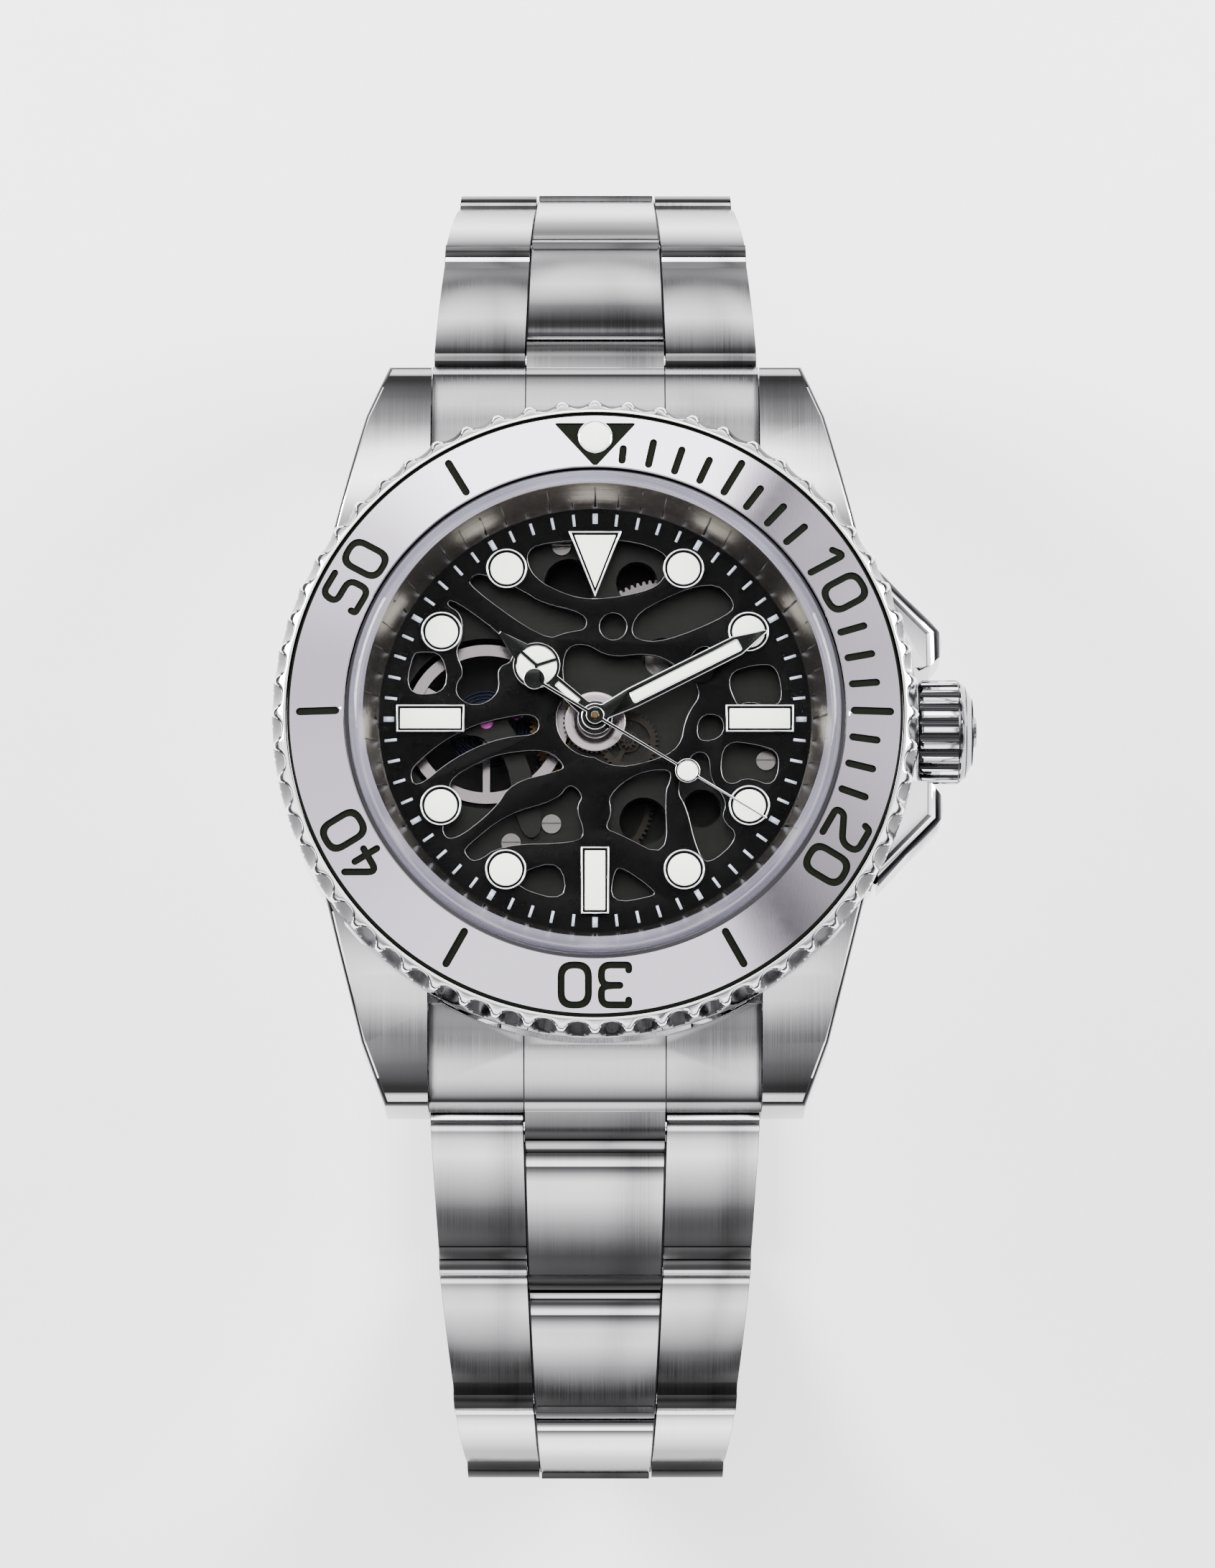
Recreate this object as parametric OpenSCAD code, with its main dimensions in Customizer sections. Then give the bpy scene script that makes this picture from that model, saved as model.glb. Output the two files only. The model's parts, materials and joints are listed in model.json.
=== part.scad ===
// Skeleton dive watch on a three-row steel bracelet, closed on its folding clasp.
// The origin is the centre of the back window's outer face; +Y is 12 o'clock, +X is the crown side.

/* [Case] */
// Diameter of the rotating bezel
bezel_d = 40; // [39:0.5:41]
// Radius of the round part of the case
case_r = 19.8; // [19.4:0.1:19.9]
// Gap between the two lugs of a pair
lug_gap = 20.7; // [20.6:0.1:20.8]
// Radius of the visible dial
dial_r = 13.4; // [13.3:0.1:13.5]
// Number of grip scallops around the bezel
scallops = 60; // [40:10:60]

/* [Crown] */
// Outer diameter of the crown
crown_d = 6.5; // [6:0.1:6.8]
// Number of flutes on the crown
crown_flutes = 20; // [16:2:24]

/* [Bracelet] */
// Distance from one hinge of the bracelet to the next
pitch = 9; // [8.9:0.05:9.1]
// Thickness of a link
link_t = 2.9; // [2.8:0.1:3]
// Diameter of the pins through the links
pin_d = 1.2; // [1:0.1:1.3]

/* [Dial] */
// Distance of the round hour markers from the centre
marker_r = 11; // [10.9:0.1:11.1]
// Outer radius of a round hour marker
marker_ring_r = 1.26; // [1.2:0.02:1.3]
// Wall of the metal frame around each hour marker
frame_w = 0.1; // [0.08:0.01:0.15]

/* [Hands] */
// Length of the hour hand
hour_len = 8; // [7.6:0.1:8.2]
// Length of the minute hand
minute_len = 12; // [11.5:0.1:12.2]
// Length of the seconds hand
seconds_len = 12.4; // [12:0.1:12.6]
// Rest angle of the hour hand, clockwise from 12
hour_at = 312.3; // [0:0.1:360]
// Rest angle of the minute hand, clockwise from 12
minute_at = 63; // [0:0.5:360]
// Rest angle of the seconds hand, clockwise from 12
seconds_at = 121.5; // [0:0.5:360]

/* [Hidden] */
$fn = 96;
eps = 0.01;

// Colours
STEEL = "#c9cbd0";
DARK_PLATE = "#34363a";
DIAL_BLACK = "#0c0c0f";
LUME = "#eef2e2";
BRASS = "#b9975a";
RUBY = "#b03060";
RUBBER = "#1c1c1e";
GLASS = "#cfdbe6";

// Heights above the back window's outer face
plate_z = 6.65;
plate_h = 0.85;
dial_z = 8.3;
dial_h = 0.4;
dial_top = dial_z + dial_h;
bezel_z = 8.3;
hour_hand_z = 9.1;
minute_hand_z = 9.45;
seconds_hand_z = 9.85;
glass_z = 10.6;
glass_top = 12.1;
stem_z = 4.75;
rotor_z = 1.75;
winding_z = 2.9;
pivot_z = 3.25;
fourth_z = 4.0;
barrel_z = 4.25;
third_z = 4.5;
escape_z = 5.0;
hairspring_z = 5.75;
center_z = 6.3;
balance_z = 6.72;
minute_wheel_z = 7.6;
hour_wheel_z = 7.9;
bridge_z = 3.2;
bridge_h = 0.7;

// Radii of the head
bezel_r = bezel_d / 2;
insert_in_r = 15.45;
insert_out_r = 19.0;
glass_r = 15.2;
rehaut_top_r = 14.6;
cavity_r = 13.9;
case_cavity_z = 2.4;
tube_in_r = 0.75;
tube_len = 7.6;
tube_in_x = 14.2;
plate_r = 13.2;
pivot_bore_r = 0.32;
dial_disc_r = 14.8;

// Movement layout: arbor positions in plan
train_step = 4.5;
third_at = train_step * [cos(-95), sin(-95)];
escape_step = 3.96;
escape_at = escape_step * [cos(140), sin(140)];
balance_at = [-6.75, 0];
fork_at = escape_at + 0.5 * (balance_at - escape_at);
fork_dir = atan2(balance_at[1] - escape_at[1], balance_at[0] - escape_at[0]);
barrel_at = [4.2, 4.2];
barrel_step = norm(barrel_at);
motion_step = 2.4;
minute_wheel_at = motion_step * [cos(-30), sin(-30)];
ratchet_r = 3.6;
crown_wheel_r = 1.8;
crown_wheel_at = barrel_at + (ratchet_r + crown_wheel_r) * [cos(-25), sin(-25)];

// Tooth counts
barrel_teeth = 84;
center_leaves = 12;
center_teeth = 80;
third_leaves = 10;
third_teeth = 75;
fourth_leaves = 10;
fourth_teeth = 80;
escape_leaves = 8;
escape_teeth = 15;
cannon_leaves = 12;
minute_wheel_teeth = 36;
minute_leaves = 10;
hour_teeth = 40;

// Bracelet; each row's angle is measured downwards from level
row_angles_12 = [29, 55, 80, 108, 138, 165];
row_angles_6 = [12, 37, 71, 106, 128, 152];
hinge0 = [24.5, 2.4];
hinge_gap = 0.1;
end_r = link_t / 2;
side_gap = 0.1;
fixed_pin_u = pitch / 2;
half_widths = [10.2, 9.6, 8.75, 8.05, 7.7, 7.6, 7.6, 7.6];
center_share = 0.427;

// Position of hinge k on a strand with the given row angles
function hinge_at(angles, k) =
    k == 0 ? hinge0
           : hinge_at(angles, k - 1) + pitch * [cos(angles[k - 1]), -sin(angles[k - 1])];
end_12 = hinge_at(row_angles_12, 6);
end_6 = hinge_at(row_angles_6, 6);
clasp_dy = end_12[0] + end_6[0];
clasp_dz = end_12[1] - end_6[1];
clasp_len = norm([clasp_dy, clasp_dz]);
clasp_tilt = atan2(clasp_dz, clasp_dy);

// ---------- helpers ----------

module ring(outer, inner, h) {
    linear_extrude(h)
        difference() {
            circle(outer);
            circle(inner);
        }
}

// Extrudes a side profile given as (Y, Z) along X, centred on X = 0
module along_x(width) {
    translate([-width / 2, 0, 0])
        rotate([90, 0, 90])
            linear_extrude(width) children();
}

// Extrudes a side profile from X = 0 towards +X
module along_half(width) {
    rotate([90, 0, 90]) linear_extrude(width) children();
}

// A pin or bore along X
module x_pin(d, length, y = 0, z = 0) {
    translate([-length / 2, y, z])
        rotate([0, 90, 0])
            cylinder(d = d, h = length, $fn = 32);
}

// Turns a shape drawn towards 12 o'clock to a clock angle
module clock(a) {
    rotate(-a) children();
}

// Points of a gear outline: straight-flanked teeth with backlash, one tooth centred on +X
function gear_points(n, pitch_r, add = 0.75, ded = 1.05, tip_share = 0.16, root_share = 0.33) =
    let (m = 2 * pitch_r / n, step = 360 / n, ro = pitch_r + add * m, ri = pitch_r - ded * m)
    [for (i = [0:n - 1], c = [[ri, -root_share], [ro, -tip_share], [ro, tip_share], [ri, root_share]])
        c[0] * [cos((i + c[1]) * step), sin((i + c[1]) * step)]];

// A wheel with teeth, spokes and a bore
module wheel(n, pitch_r, h, hub_r, bore, spokes = 4, phase = 0, rim = 0.45) {
    linear_extrude(h)
        difference() {
            rotate(phase) polygon(gear_points(n, pitch_r));
            difference() {
                circle(pitch_r - rim);
                circle(hub_r);
                for (i = [0:spokes - 1])
                    rotate(i * 360 / spokes) translate([0, -0.16]) square([pitch_r, 0.32]);
            }
            if (bore > 0) circle(bore, $fn = 32);
        }
}

module pinion(n, pitch_r, h, bore = 0, phase = 0) {
    linear_extrude(h)
        difference() {
            rotate(phase) polygon(gear_points(n, pitch_r));
            if (bore > 0) circle(bore, $fn = 32);
        }
}

// Rounds a closed outline by cutting each corner twice
function cut_corners(p) =
    [for (i = [0:len(p) - 1], t = [0.25, 0.75]) p[i] * (1 - t) + p[(i + 1) % len(p)] * t];
function smooth(p) = cut_corners(cut_corners(p));

// ---------- case ----------

lug_tip_y = 23.6;
case_low = 1.5;
case_top = 8.1;
collar_r = 16.2;
collar_h = 1.4;
tube_seat_r = 1.4;
bar_y = 21.4;
bar_z = 2.3;
guard_low = 2.6;
guard_h = 4.7;
// Top line of the lugs: flat under the bezel, then a falling arc
function lug_top(y) = let (r = 21, t = max(0, y - 12.5)) case_top - (r - sqrt(r * r - t * t));
function lug_bottom(y) = 1.7 - 0.0042 * y * y;

module lug_profile() {
    ys = [0, 6, 12, 14, 16, 18, 20, 22, lug_tip_y];
    polygon(concat([for (y = ys) [y, lug_top(y)]],
                   [for (i = [len(ys) - 1:-1:0]) [ys[i], lug_bottom(ys[i])]]));
}

lug_outer = [[19.2, 0], [18.2, 6.5], [16.9, 10], [15.7, 14.8], [14.4, 19.9], [13.0, lug_tip_y]];

module lug_plan() {
    polygon(concat([[lug_gap / 2, 0]], lug_outer, [[lug_gap / 2, lug_tip_y]]));
}

module guard_plan() {
    polygon([[17.5, 10.2], [19.3, 8.2], [20.9, 6.7], [21.5, 5.9], [21.6, 5.2], [21.5, 4.4],
             [20.9, 3.75], [20.2, 3.6], [19.5, 3.6], [17.5, 3.6]]);
}

guard_x = 21.6;
guard_round = 1;
guard_slope = 44.2;
guard_slope_x = 19.75;

// A slab reaching to X = x with its outer edges rounded
module rounded_slab(x) {
    top = guard_low + guard_h - guard_round;
    rotate([90, 0, 0])
        linear_extrude(60, center = true)
            polygon(concat([[0, guard_low]],
                           [for (a = [-90:15:0])
                               [x - guard_round, guard_low + guard_round] + guard_round * [cos(a), sin(a)]],
                           [for (a = [0:15:90]) [x - guard_round, top] + guard_round * [cos(a), sin(a)]],
                           [[0, guard_low + guard_h]]));
}

module crown_guard() {
    intersection() {
        translate([0, 0, guard_low]) linear_extrude(guard_h) guard_plan();
        rounded_slab(guard_x);
        rotate(guard_slope) rounded_slab(guard_slope_x);
    }
}

module mid_case() {
    color(STEEL)
        difference() {
            union() {
                translate([0, 0, case_low]) cylinder(r = case_r, h = case_top - case_low);
                translate([0, 0, case_top - eps]) cylinder(r = collar_r, h = collar_h);
                for (mx = [0, 1], my = [0, 1])
                    mirror([mx, 0, 0]) mirror([0, my, 0])
                        intersection() {
                            translate([0, 0, -1]) linear_extrude(10) lug_plan();
                            along_x(60) lug_profile();
                        }
                for (my = [0, 1]) mirror([0, my, 0]) crown_guard();
            }
            // room for the end links, the movement, the back and the crystal
            for (my = [0, 1])
                mirror([0, my, 0]) translate([-lug_gap / 2, 17.9, -1]) cube([lug_gap, 8, 12]);
            translate([0, 0, case_cavity_z]) cylinder(r = cavity_r, h = 10);
            translate([0, 0, dial_z]) cylinder(r = 14.9, h = 5);
            translate([0, 0, -1]) cylinder(r = 16.8, h = 3.4);
            translate([0, 0, stem_z]) rotate([0, 90, 0]) cylinder(r = tube_seat_r, h = 30);
            translate([19.6, 0, stem_z]) rotate([0, 90, 0]) cylinder(d = crown_d + 0.5, h = 10);
            for (my = [-1, 1]) x_pin(0.9, 24.6, my * bar_y, bar_z);
        }
}

module crown_tube() {
    color(STEEL)
        translate([tube_in_x, 0, stem_z]) rotate([0, 90, 0])
            ring(tube_seat_r, tube_in_r, tube_len);
}

back_notches = 6;
module case_back() {
    color(STEEL)
        difference() {
            union() {
                translate([0, 0, 0.1]) cylinder(r1 = 15.4, r2 = 16.2, h = 0.8);
                translate([0, 0, 0.9 - eps]) cylinder(r = 16.7, h = 1.5);
            }
            translate([0, 0, -1]) cylinder(r = 12.6, h = 5);
            translate([0, 0, 1.2]) cylinder(r = 13.6, h = 5);
            for (i = [0:back_notches - 1])
                rotate(i * 360 / back_notches) translate([14.5, -1, -0.5]) cube([3, 2, 1.1]);
        }
}

module back_crystal() {
    color(GLASS) cylinder(r = 12.5, h = 1.2);
}

module gaskets() {
    color(RUBBER) {
        translate([0, 0, dial_z + 1.2]) ring(15.4, glass_r + 0.02, 1.4);
        translate([0, 0, 0.2]) ring(12.58, 12.52, 0.9);
    }
}

module crystal() {
    color(GLASS)
        rotate_extrude()
            polygon([[0, glass_z], [14.75, glass_z], [14.75, glass_z - 1.1], [glass_r, glass_z - 1.1],
                     [glass_r, glass_top - 0.35], [glass_r - 0.35, glass_top], [0, glass_top]]);
}

module rehaut() {
    color("#8c8a86")
        rotate_extrude()
            polygon([[dial_r, dial_top], [14.7, dial_top], [14.7, glass_z - 0.05],
                     [rehaut_top_r, glass_z - 0.05]]);
}

module movement_ring() {
    color("#6d6f73")
        difference() {
            translate([0, 0, 2.45]) ring(cavity_r - 0.05, 13.25, 5.6);
            translate([0, 0, stem_z]) rotate([0, 90, 0]) cylinder(r = 1.45, h = 30);
        }
}

// ---------- dial ----------

dial_cutouts = [
    [[-4.4, 10.8], [-2.6, 11.35], [1.9, 11.5], [4.75, 10.5], [4.3, 8.85], [3.1, 8.1], [0.15, 7.6],
     [-1.65, 7.85], [-3.9, 9.0]],
    [[-7.9, 8.5], [-7.7, 9.1], [-7.0, 9.3], [-4.5, 8.2], [-3.35, 7.4], [-0.6, 6.75], [-0.5, 5.7],
     [-1.8, 5.55], [-3.1, 5.0]],
    [[-9.3, 7.3], [-8.85, 7.7], [-5.2, 4.9], [-5.05, 3.7], [-6.1, 3.3], [-5.9, 1.9], [-6.6, 1.1],
     [-7.7, 0.85], [-8.6, 1.5], [-8.6, 2.3], [-8.1, 2.95], [-8.7, 4.3], [-8.2, 5.2], [-8.3, 6.75]],
    [[-11.3, 4.1], [-10.95, 4.3], [-9.4, 4.2], [-9.1, 1.8], [-11.1, 1.5], [-11.7, 2.3]],
    [[-11.5, -3.3], [-10.7, -2.45], [-9.4, -1.4], [-7.8, -0.5], [-6.2, 0.0], [-3.6, 0.45],
     [-3.4, -0.95], [-5.5, -1.1], [-7.3, -1.7], [-9.1, -2.7], [-11.1, -4.4]],
    [[-1.8, -3.0], [-2.9, -1.9], [-5.5, -2.1], [-7.0, -2.6], [-9.2, -3.9], [-8.6, -4.95],
     [-9.6, -6.9], [-8.85, -7.8], [-6.2, -5.7], [-5.2, -4.0], [-2.4, -3.3]],
    [[-8.1, -8.4], [-7.4, -9.1], [-5.8, -7.9], [-1.2, -7.8], [-0.6, -7.2], [-1.2, -5.6],
     [-0.7, -4.8], [-1.6, -4.0], [-2.3, -5.1], [-5.5, -6.0], [-7.9, -8.0]],
    [[-2.1, -8.9], [-1.7, -11.5], [-4.9, -10.6], [-4.6, -9.6]],
    [[1.2, -9.4], [1.8, -9.4], [3.7, -10.8], [3.6, -11.15], [0.9, -11.6]],
    [[4.6, -3.1], [4.7, -3.8], [4.3, -4.6], [4.5, -8.8], [1.45, -7.2], [0.6, -6.9], [1.05, -5.9],
     [0.8, -4.8], [2.5, -3.4]],
    [[5.8, -2.45], [6.4, -2.0], [7.1, -2.3], [7.1, -3.8], [8.2, -5.2], [7.75, -6.3], [9.0, -7.4],
     [6.9, -9.3], [6.2, -8.0], [5.65, -5.5], [5.0, -4.5]],
    [[8.0, -1.35], [10.1, -1.6], [11.5, -2.1], [11.1, -4.3], [9.4, -3.6], [8.4, -4.2], [7.7, -3.5]],
    [[6.3, -1.5], [8.0, -1.1], [7.9, 0.3], [6.4, 0.3]],
    [[2.2, 5.9], [2.5, 5.05], [4.3, 4.9], [8.4, 6.65], [8.7, 7.5], [7.2, 8.9], [3.0, 7.1]],
    [[8.1, 2.9], [10.0, 3.5], [11.3, 3.4], [11.65, 1.2], [10.9, 0.8], [9.4, 1.2], [8.8, 0.7]],
    [[5.7, 2.5], [7.0, 2.2], [7.5, 3.2], [7.2, 4.8], [5.9, 4.3]]
];
hub_window = [[-2.05, 4.4], [-0.7, 4.9], [0.9, 3.9], [3.1, 4.2], [4.6, 3.8], [6.8, 1.9], [5.6, 0.2],
              [5.3, -1.8], [3.4, -2.7], [1.0, -3.1], [-1.2, -1.6], [-1.9, 1.2]];

module dial() {
    color(DIAL_BLACK)
        translate([0, 0, dial_z]) linear_extrude(dial_h)
            difference() {
                circle(dial_disc_r);
                for (p = dial_cutouts) polygon(smooth(p));
                polygon(smooth(hub_window));
                circle(2.4);
                translate([1.12, 5.9]) circle(0.85);
            }
}

round_hours = [1, 2, 4, 5, 7, 8, 10, 11];
bar_hours = [3, 6, 9];
bar_in = 8.1;
bar_out = 12.3;
bar_w = 1.72;
marker_h = 0.35;
lume_gap = 0.1;
pip_base = 11.9;
pip_apex = 7.7;

module triangle_2d(inset) {
    polygon([[-1.65 + inset * 1.55, pip_base - inset], [1.65 - inset * 1.55, pip_base - inset],
             [0, pip_apex + inset * 2.6]]);
}

module bar_2d(inset) {
    translate([-bar_w / 2 + inset, bar_in + inset])
        square([bar_w - 2 * inset, bar_out - bar_in - 2 * inset]);
}

module hour_markers() {
    color(STEEL)
        translate([0, 0, dial_top]) {
            for (h = round_hours)
                clock(h * 30) translate([0, marker_r, 0])
                    ring(marker_ring_r, marker_ring_r - frame_w, marker_h);
            for (h = bar_hours)
                clock(h * 30) linear_extrude(marker_h)
                    difference() {
                        bar_2d(0);
                        bar_2d(frame_w);
                    }
            linear_extrude(marker_h)
                difference() {
                    triangle_2d(0);
                    triangle_2d(frame_w);
                }
        }
}

module marker_lume() {
    gap = frame_w + lume_gap;
    lume_h = marker_h - 0.08;
    color(LUME)
        translate([0, 0, dial_top]) {
            for (h = round_hours)
                clock(h * 30) translate([0, marker_r, 0]) cylinder(r = marker_ring_r - gap, h = lume_h);
            for (h = bar_hours) clock(h * 30) linear_extrude(lume_h) bar_2d(gap);
            linear_extrude(lume_h) triangle_2d(gap);
        }
}

// ---------- plates ----------

screw_holes = [[-2.7, -6.4], [-5.2, -7.6], [10.6, -2.4], [-2.1, 11.3], [9.4, 6.2]];
// Openings that lighten the plate, each [x, y, radius]
plate_windows = [[-1.6, 8.9, 1.6], [2.6, 9.0, 1.3], [3.0, -6.2, 1.5], [6.6, -5.4, 1.2]];
screw_head_r = 0.6;
screw_neck_r = 0.35;
screw_seat = 0.2;

module plate_blank() {
    translate([0, 0, plate_z])
        linear_extrude(plate_h)
            difference() {
                circle(plate_r);
                difference() {
                    translate(balance_at) circle(5.4);
                    circle(1.6);
                }
                circle(0.95, $fn = 32);
                translate(third_at) circle(pivot_bore_r, $fn = 32);
                translate(barrel_at) circle(1.25, $fn = 48);
                for (w = plate_windows) translate([w[0], w[1]]) circle(w[2], $fn = 48);
                for (s = screw_holes) translate(s) circle(screw_neck_r + 0.02, $fn = 32);
            }
}

module main_plate() {
    color(DARK_PLATE)
        difference() {
            plate_blank();
            for (s = screw_holes)
                at_point(s, plate_z + screw_seat) cylinder(r = screw_head_r + 0.02, h = 2, $fn = 32);
        }
    color(DARK_PLATE)
        at_point(minute_wheel_at, plate_z + plate_h - eps) cylinder(r = 0.17, h = 0.6, $fn = 32);
}

module train_bridge() {
    color(DARK_PLATE)
        difference() {
            union() {
                translate([0, 0, bridge_z]) cylinder(r = plate_r, h = bridge_h);
                translate([0, 0, 1.7]) cylinder(r = 0.8, h = 1.6, $fn = 48);
            }
            translate([8.5, -1.9, bridge_z - 1]) cube([2.3, 3.8, 3]);
            translate([0, 0, bridge_z - 2]) {
                cylinder(r = pivot_bore_r, h = 4, $fn = 32);
                for (p = [third_at, escape_at, fork_at, balance_at])
                    translate([p[0], p[1], 0]) cylinder(r = pivot_bore_r, h = 4, $fn = 32);
                translate([barrel_at[0], barrel_at[1], 0]) cylinder(r = 0.85, h = 4, $fn = 48);
            }
        }
}

module balance_cock() {
    color(DARK_PLATE)
        translate([0, 0, plate_z + plate_h])
            linear_extrude(0.45)
                difference() {
                    polygon(smooth([[-12.9, 1.2], [-12.9, -1.2], [-8.6, -0.8], [-6.9, -0.9],
                                    [-5.4, -2.4], [-4.9, -6.3], [-4.0, -7.6], [-3.1, -6.6],
                                    [-4.2, -2.2], [-5.6, 0.5], [-6.8, 0.95], [-8.6, 0.8]]));
                    translate(balance_at) circle(0.45, $fn = 32);
                }
}

jewel_r = 0.3;
jewel_bore_r = 0.12;
jewel_spots = [third_at, escape_at, fork_at, balance_at, [0, 0]];

module jewels() {
    color(RUBY) {
        for (j = jewel_spots)
            translate([j[0], j[1], bridge_z + 0.05]) ring(jewel_r, jewel_bore_r, 0.4);
        translate([balance_at[0], balance_at[1], plate_z + plate_h + 0.02]) ring(0.43, jewel_bore_r, 0.38);
        translate([third_at[0], third_at[1], plate_z + 0.3]) ring(jewel_r, jewel_bore_r, 0.4);
    }
}

module bridge_screws() {
    color("#9fb0d0")
        for (s = screw_holes)
            translate([s[0], s[1], plate_z + screw_seat])
                difference() {
                    union() {
                        cylinder(r = screw_head_r, h = 0.8);
                        translate([0, 0, -screw_seat]) cylinder(r = screw_neck_r, h = screw_seat + 0.1);
                    }
                    translate([-1, -0.08, 0.62]) cube([2, 0.16, 1]);
                }
}

// ---------- bezel ----------

scallop_r = 0.86;
scallop_lean = 9;
pip_at_r = 17.4;
long_tick = [0.5, 2.55];
long_tick_r = 15.7;
insert_low = bezel_z + 1.56;
insert_rim_z = bezel_z + 2.58;
insert_peak_z = bezel_z + 3.1;

module bezel() {
    color(STEEL)
        difference() {
            rotate_extrude()
                polygon([[16.35, bezel_z], [19.6, bezel_z], [bezel_r, bezel_z + 0.4],
                         [bezel_r, bezel_z + 1.9], [bezel_r - 0.5, bezel_z + 2.45],
                         [insert_out_r + 0.2, bezel_z + 2.65], [insert_out_r + 0.05, bezel_z + 2.6],
                         [insert_out_r + 0.05, bezel_z + 1.55], [insert_in_r - 0.02, bezel_z + 1.55],
                         [insert_in_r - 0.02, bezel_z + 1.35], [16.35, bezel_z + 1.35]]);
            for (i = [0:scallops - 1])
                rotate((i + 0.5) * 360 / scallops)
                    translate([bezel_r + 0.17, 0, bezel_z + 2.5]) rotate([0, -scallop_lean, 0])
                        cylinder(r = scallop_r, h = 8, center = true, $fn = 24);
        }
}

module bezel_insert() {
    color("#b9bac6")
        difference() {
            rotate_extrude()
                polygon([[insert_in_r, insert_low], [insert_out_r, insert_low],
                         [insert_out_r, insert_rim_z], [insert_in_r, insert_peak_z]]);
            for (m = [5:10:55])
                clock(m * 6) translate([-long_tick[0] / 2, long_tick_r, insert_rim_z - 0.06])
                    cube([long_tick[0], long_tick[1], 2]);
            translate([0, pip_at_r, bezel_z + 2.3]) cylinder(r = 1.1, h = 2);
        }
}

module bezel_pip() {
    color(LUME) translate([0, pip_at_r, bezel_z + 2.3]) cylinder(r = 1.08, h = 0.7);
}

// ---------- hands ----------

ring_at = 4.9;
ring_out = 1.45;
ring_in = 1.24;
spoke_w = 0.24;

module hour_windows(inset) {
    difference() {
        translate([0, ring_at]) circle(ring_in - inset);
        for (a = [0, 120, 240])
            translate([0, ring_at]) rotate(a)
                translate([-spoke_w / 2 - inset, 0]) square([spoke_w + 2 * inset, 3]);
    }
    polygon([[-0.21 + inset, 1.45 + inset], [0.21 - inset, 1.45 + inset],
             [0.16 - inset, 3.2 - inset], [-0.16 + inset, 3.2 - inset]]);
}

module hour_hand() {
    color(STEEL)
        clock(hour_at) {
            translate([0, 0, hour_hand_z]) linear_extrude(0.18)
                difference() {
                    union() {
                        circle(1.07);
                        polygon([[-0.5, 0], [0.5, 0], [0.38, 3.7], [-0.38, 3.7]]);
                        translate([0, ring_at]) circle(ring_out);
                        polygon([[-0.62, 6.2], [0.62, 6.2], [0.1, hour_len], [-0.1, hour_len]]);
                    }
                    hour_windows(0);
                    circle(0.66, $fn = 48);
                }
        }
}

module hour_lume() {
    color(LUME)
        clock(hour_at) translate([0, 0, hour_hand_z + 0.02]) linear_extrude(0.12) hour_windows(0.01);
}

module minute_hand() {
    color(STEEL)
        clock(minute_at) translate([0, 0, minute_hand_z]) linear_extrude(0.16)
            difference() {
                union() {
                    circle(0.86);
                    polygon([[-0.45, 0], [0.45, 0], [0.68, 2.6], [0.66, 9.9], [0.08, minute_len],
                             [-0.08, minute_len], [-0.66, 9.9], [-0.68, 2.6]]);
                }
                translate([-0.32, 2.6]) square([0.64, 7.4]);
                circle(0.46, $fn = 48);
            }
}

module minute_lume() {
    color(LUME)
        clock(minute_at) translate([-0.31, 2.61, minute_hand_z + 0.02]) cube([0.62, 7.38, 0.11]);
}

module seconds_hand() {
    color(STEEL)
        clock(seconds_at) translate([0, 0, seconds_hand_z]) {
            linear_extrude(0.12)
                difference() {
                    union() {
                        circle(0.56);
                        polygon([[-0.11, -4.4], [0.11, -4.4], [0.11, 0], [0.06, seconds_len],
                                 [-0.06, seconds_len], [-0.11, 0]]);
                        translate([0, 6.7]) circle(0.77);
                        translate([0, -4.4]) circle(0.68);
                    }
                    translate([0, 6.7]) circle(0.6);
                    circle(0.215, $fn = 32);
                }
        }
}

module seconds_lume() {
    color(LUME)
        clock(seconds_at) translate([0, 6.7, seconds_hand_z + 0.01]) cylinder(r = 0.59, h = 0.1);
}

// ---------- movement ----------

barrel_pitch_r = barrel_step * barrel_teeth / (barrel_teeth + center_leaves);
center_leaf_r = barrel_step - barrel_pitch_r;
center_pitch_r = train_step * center_teeth / (center_teeth + third_leaves);
third_leaf_r = train_step - center_pitch_r;
third_pitch_r = train_step * third_teeth / (third_teeth + fourth_leaves);
fourth_leaf_r = train_step - third_pitch_r;
fourth_pitch_r = escape_step * fourth_teeth / (fourth_teeth + escape_leaves);
escape_leaf_r = escape_step - fourth_pitch_r;
cannon_pitch_r = motion_step * cannon_leaves / (cannon_leaves + minute_wheel_teeth);
hour_pitch_r = motion_step * hour_teeth / (hour_teeth + minute_leaves);
wheel_t = 0.15;
pivot_r = 0.1;
cannon_bore_r = 0.26;

// Phase that puts a tooth gap of a follower gear against a tooth of the gear it meets:
// dir is the direction from the driver to the follower, phase the driver's own phase
function mesh_phase(dir, phase, n_driver, n_follower) =
    dir + 180 + 180 / n_follower - (phase - dir) * n_driver / n_follower;

dir_third = -95;
dir_escape = 140;
dir_barrel = 45;
dir_motion = -30;
third_phase = mesh_phase(dir_third, 0, center_teeth, third_leaves);
fourth_phase = mesh_phase(dir_third + 180, 0, third_teeth, fourth_leaves);
escape_phase = mesh_phase(dir_escape, 0, fourth_teeth, escape_leaves);
center_leaf_phase = mesh_phase(dir_barrel + 180, 0, barrel_teeth, center_leaves);
crown_wheel_phase = mesh_phase(-25, 0, 40, 20);
minute_wheel_phase = mesh_phase(dir_motion, 0, cannon_leaves, minute_wheel_teeth);
hour_wheel_phase = mesh_phase(dir_motion + 180, 0, minute_leaves, hour_teeth);

module at_point(p, z) {
    translate([p[0], p[1], z]) children();
}

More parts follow.
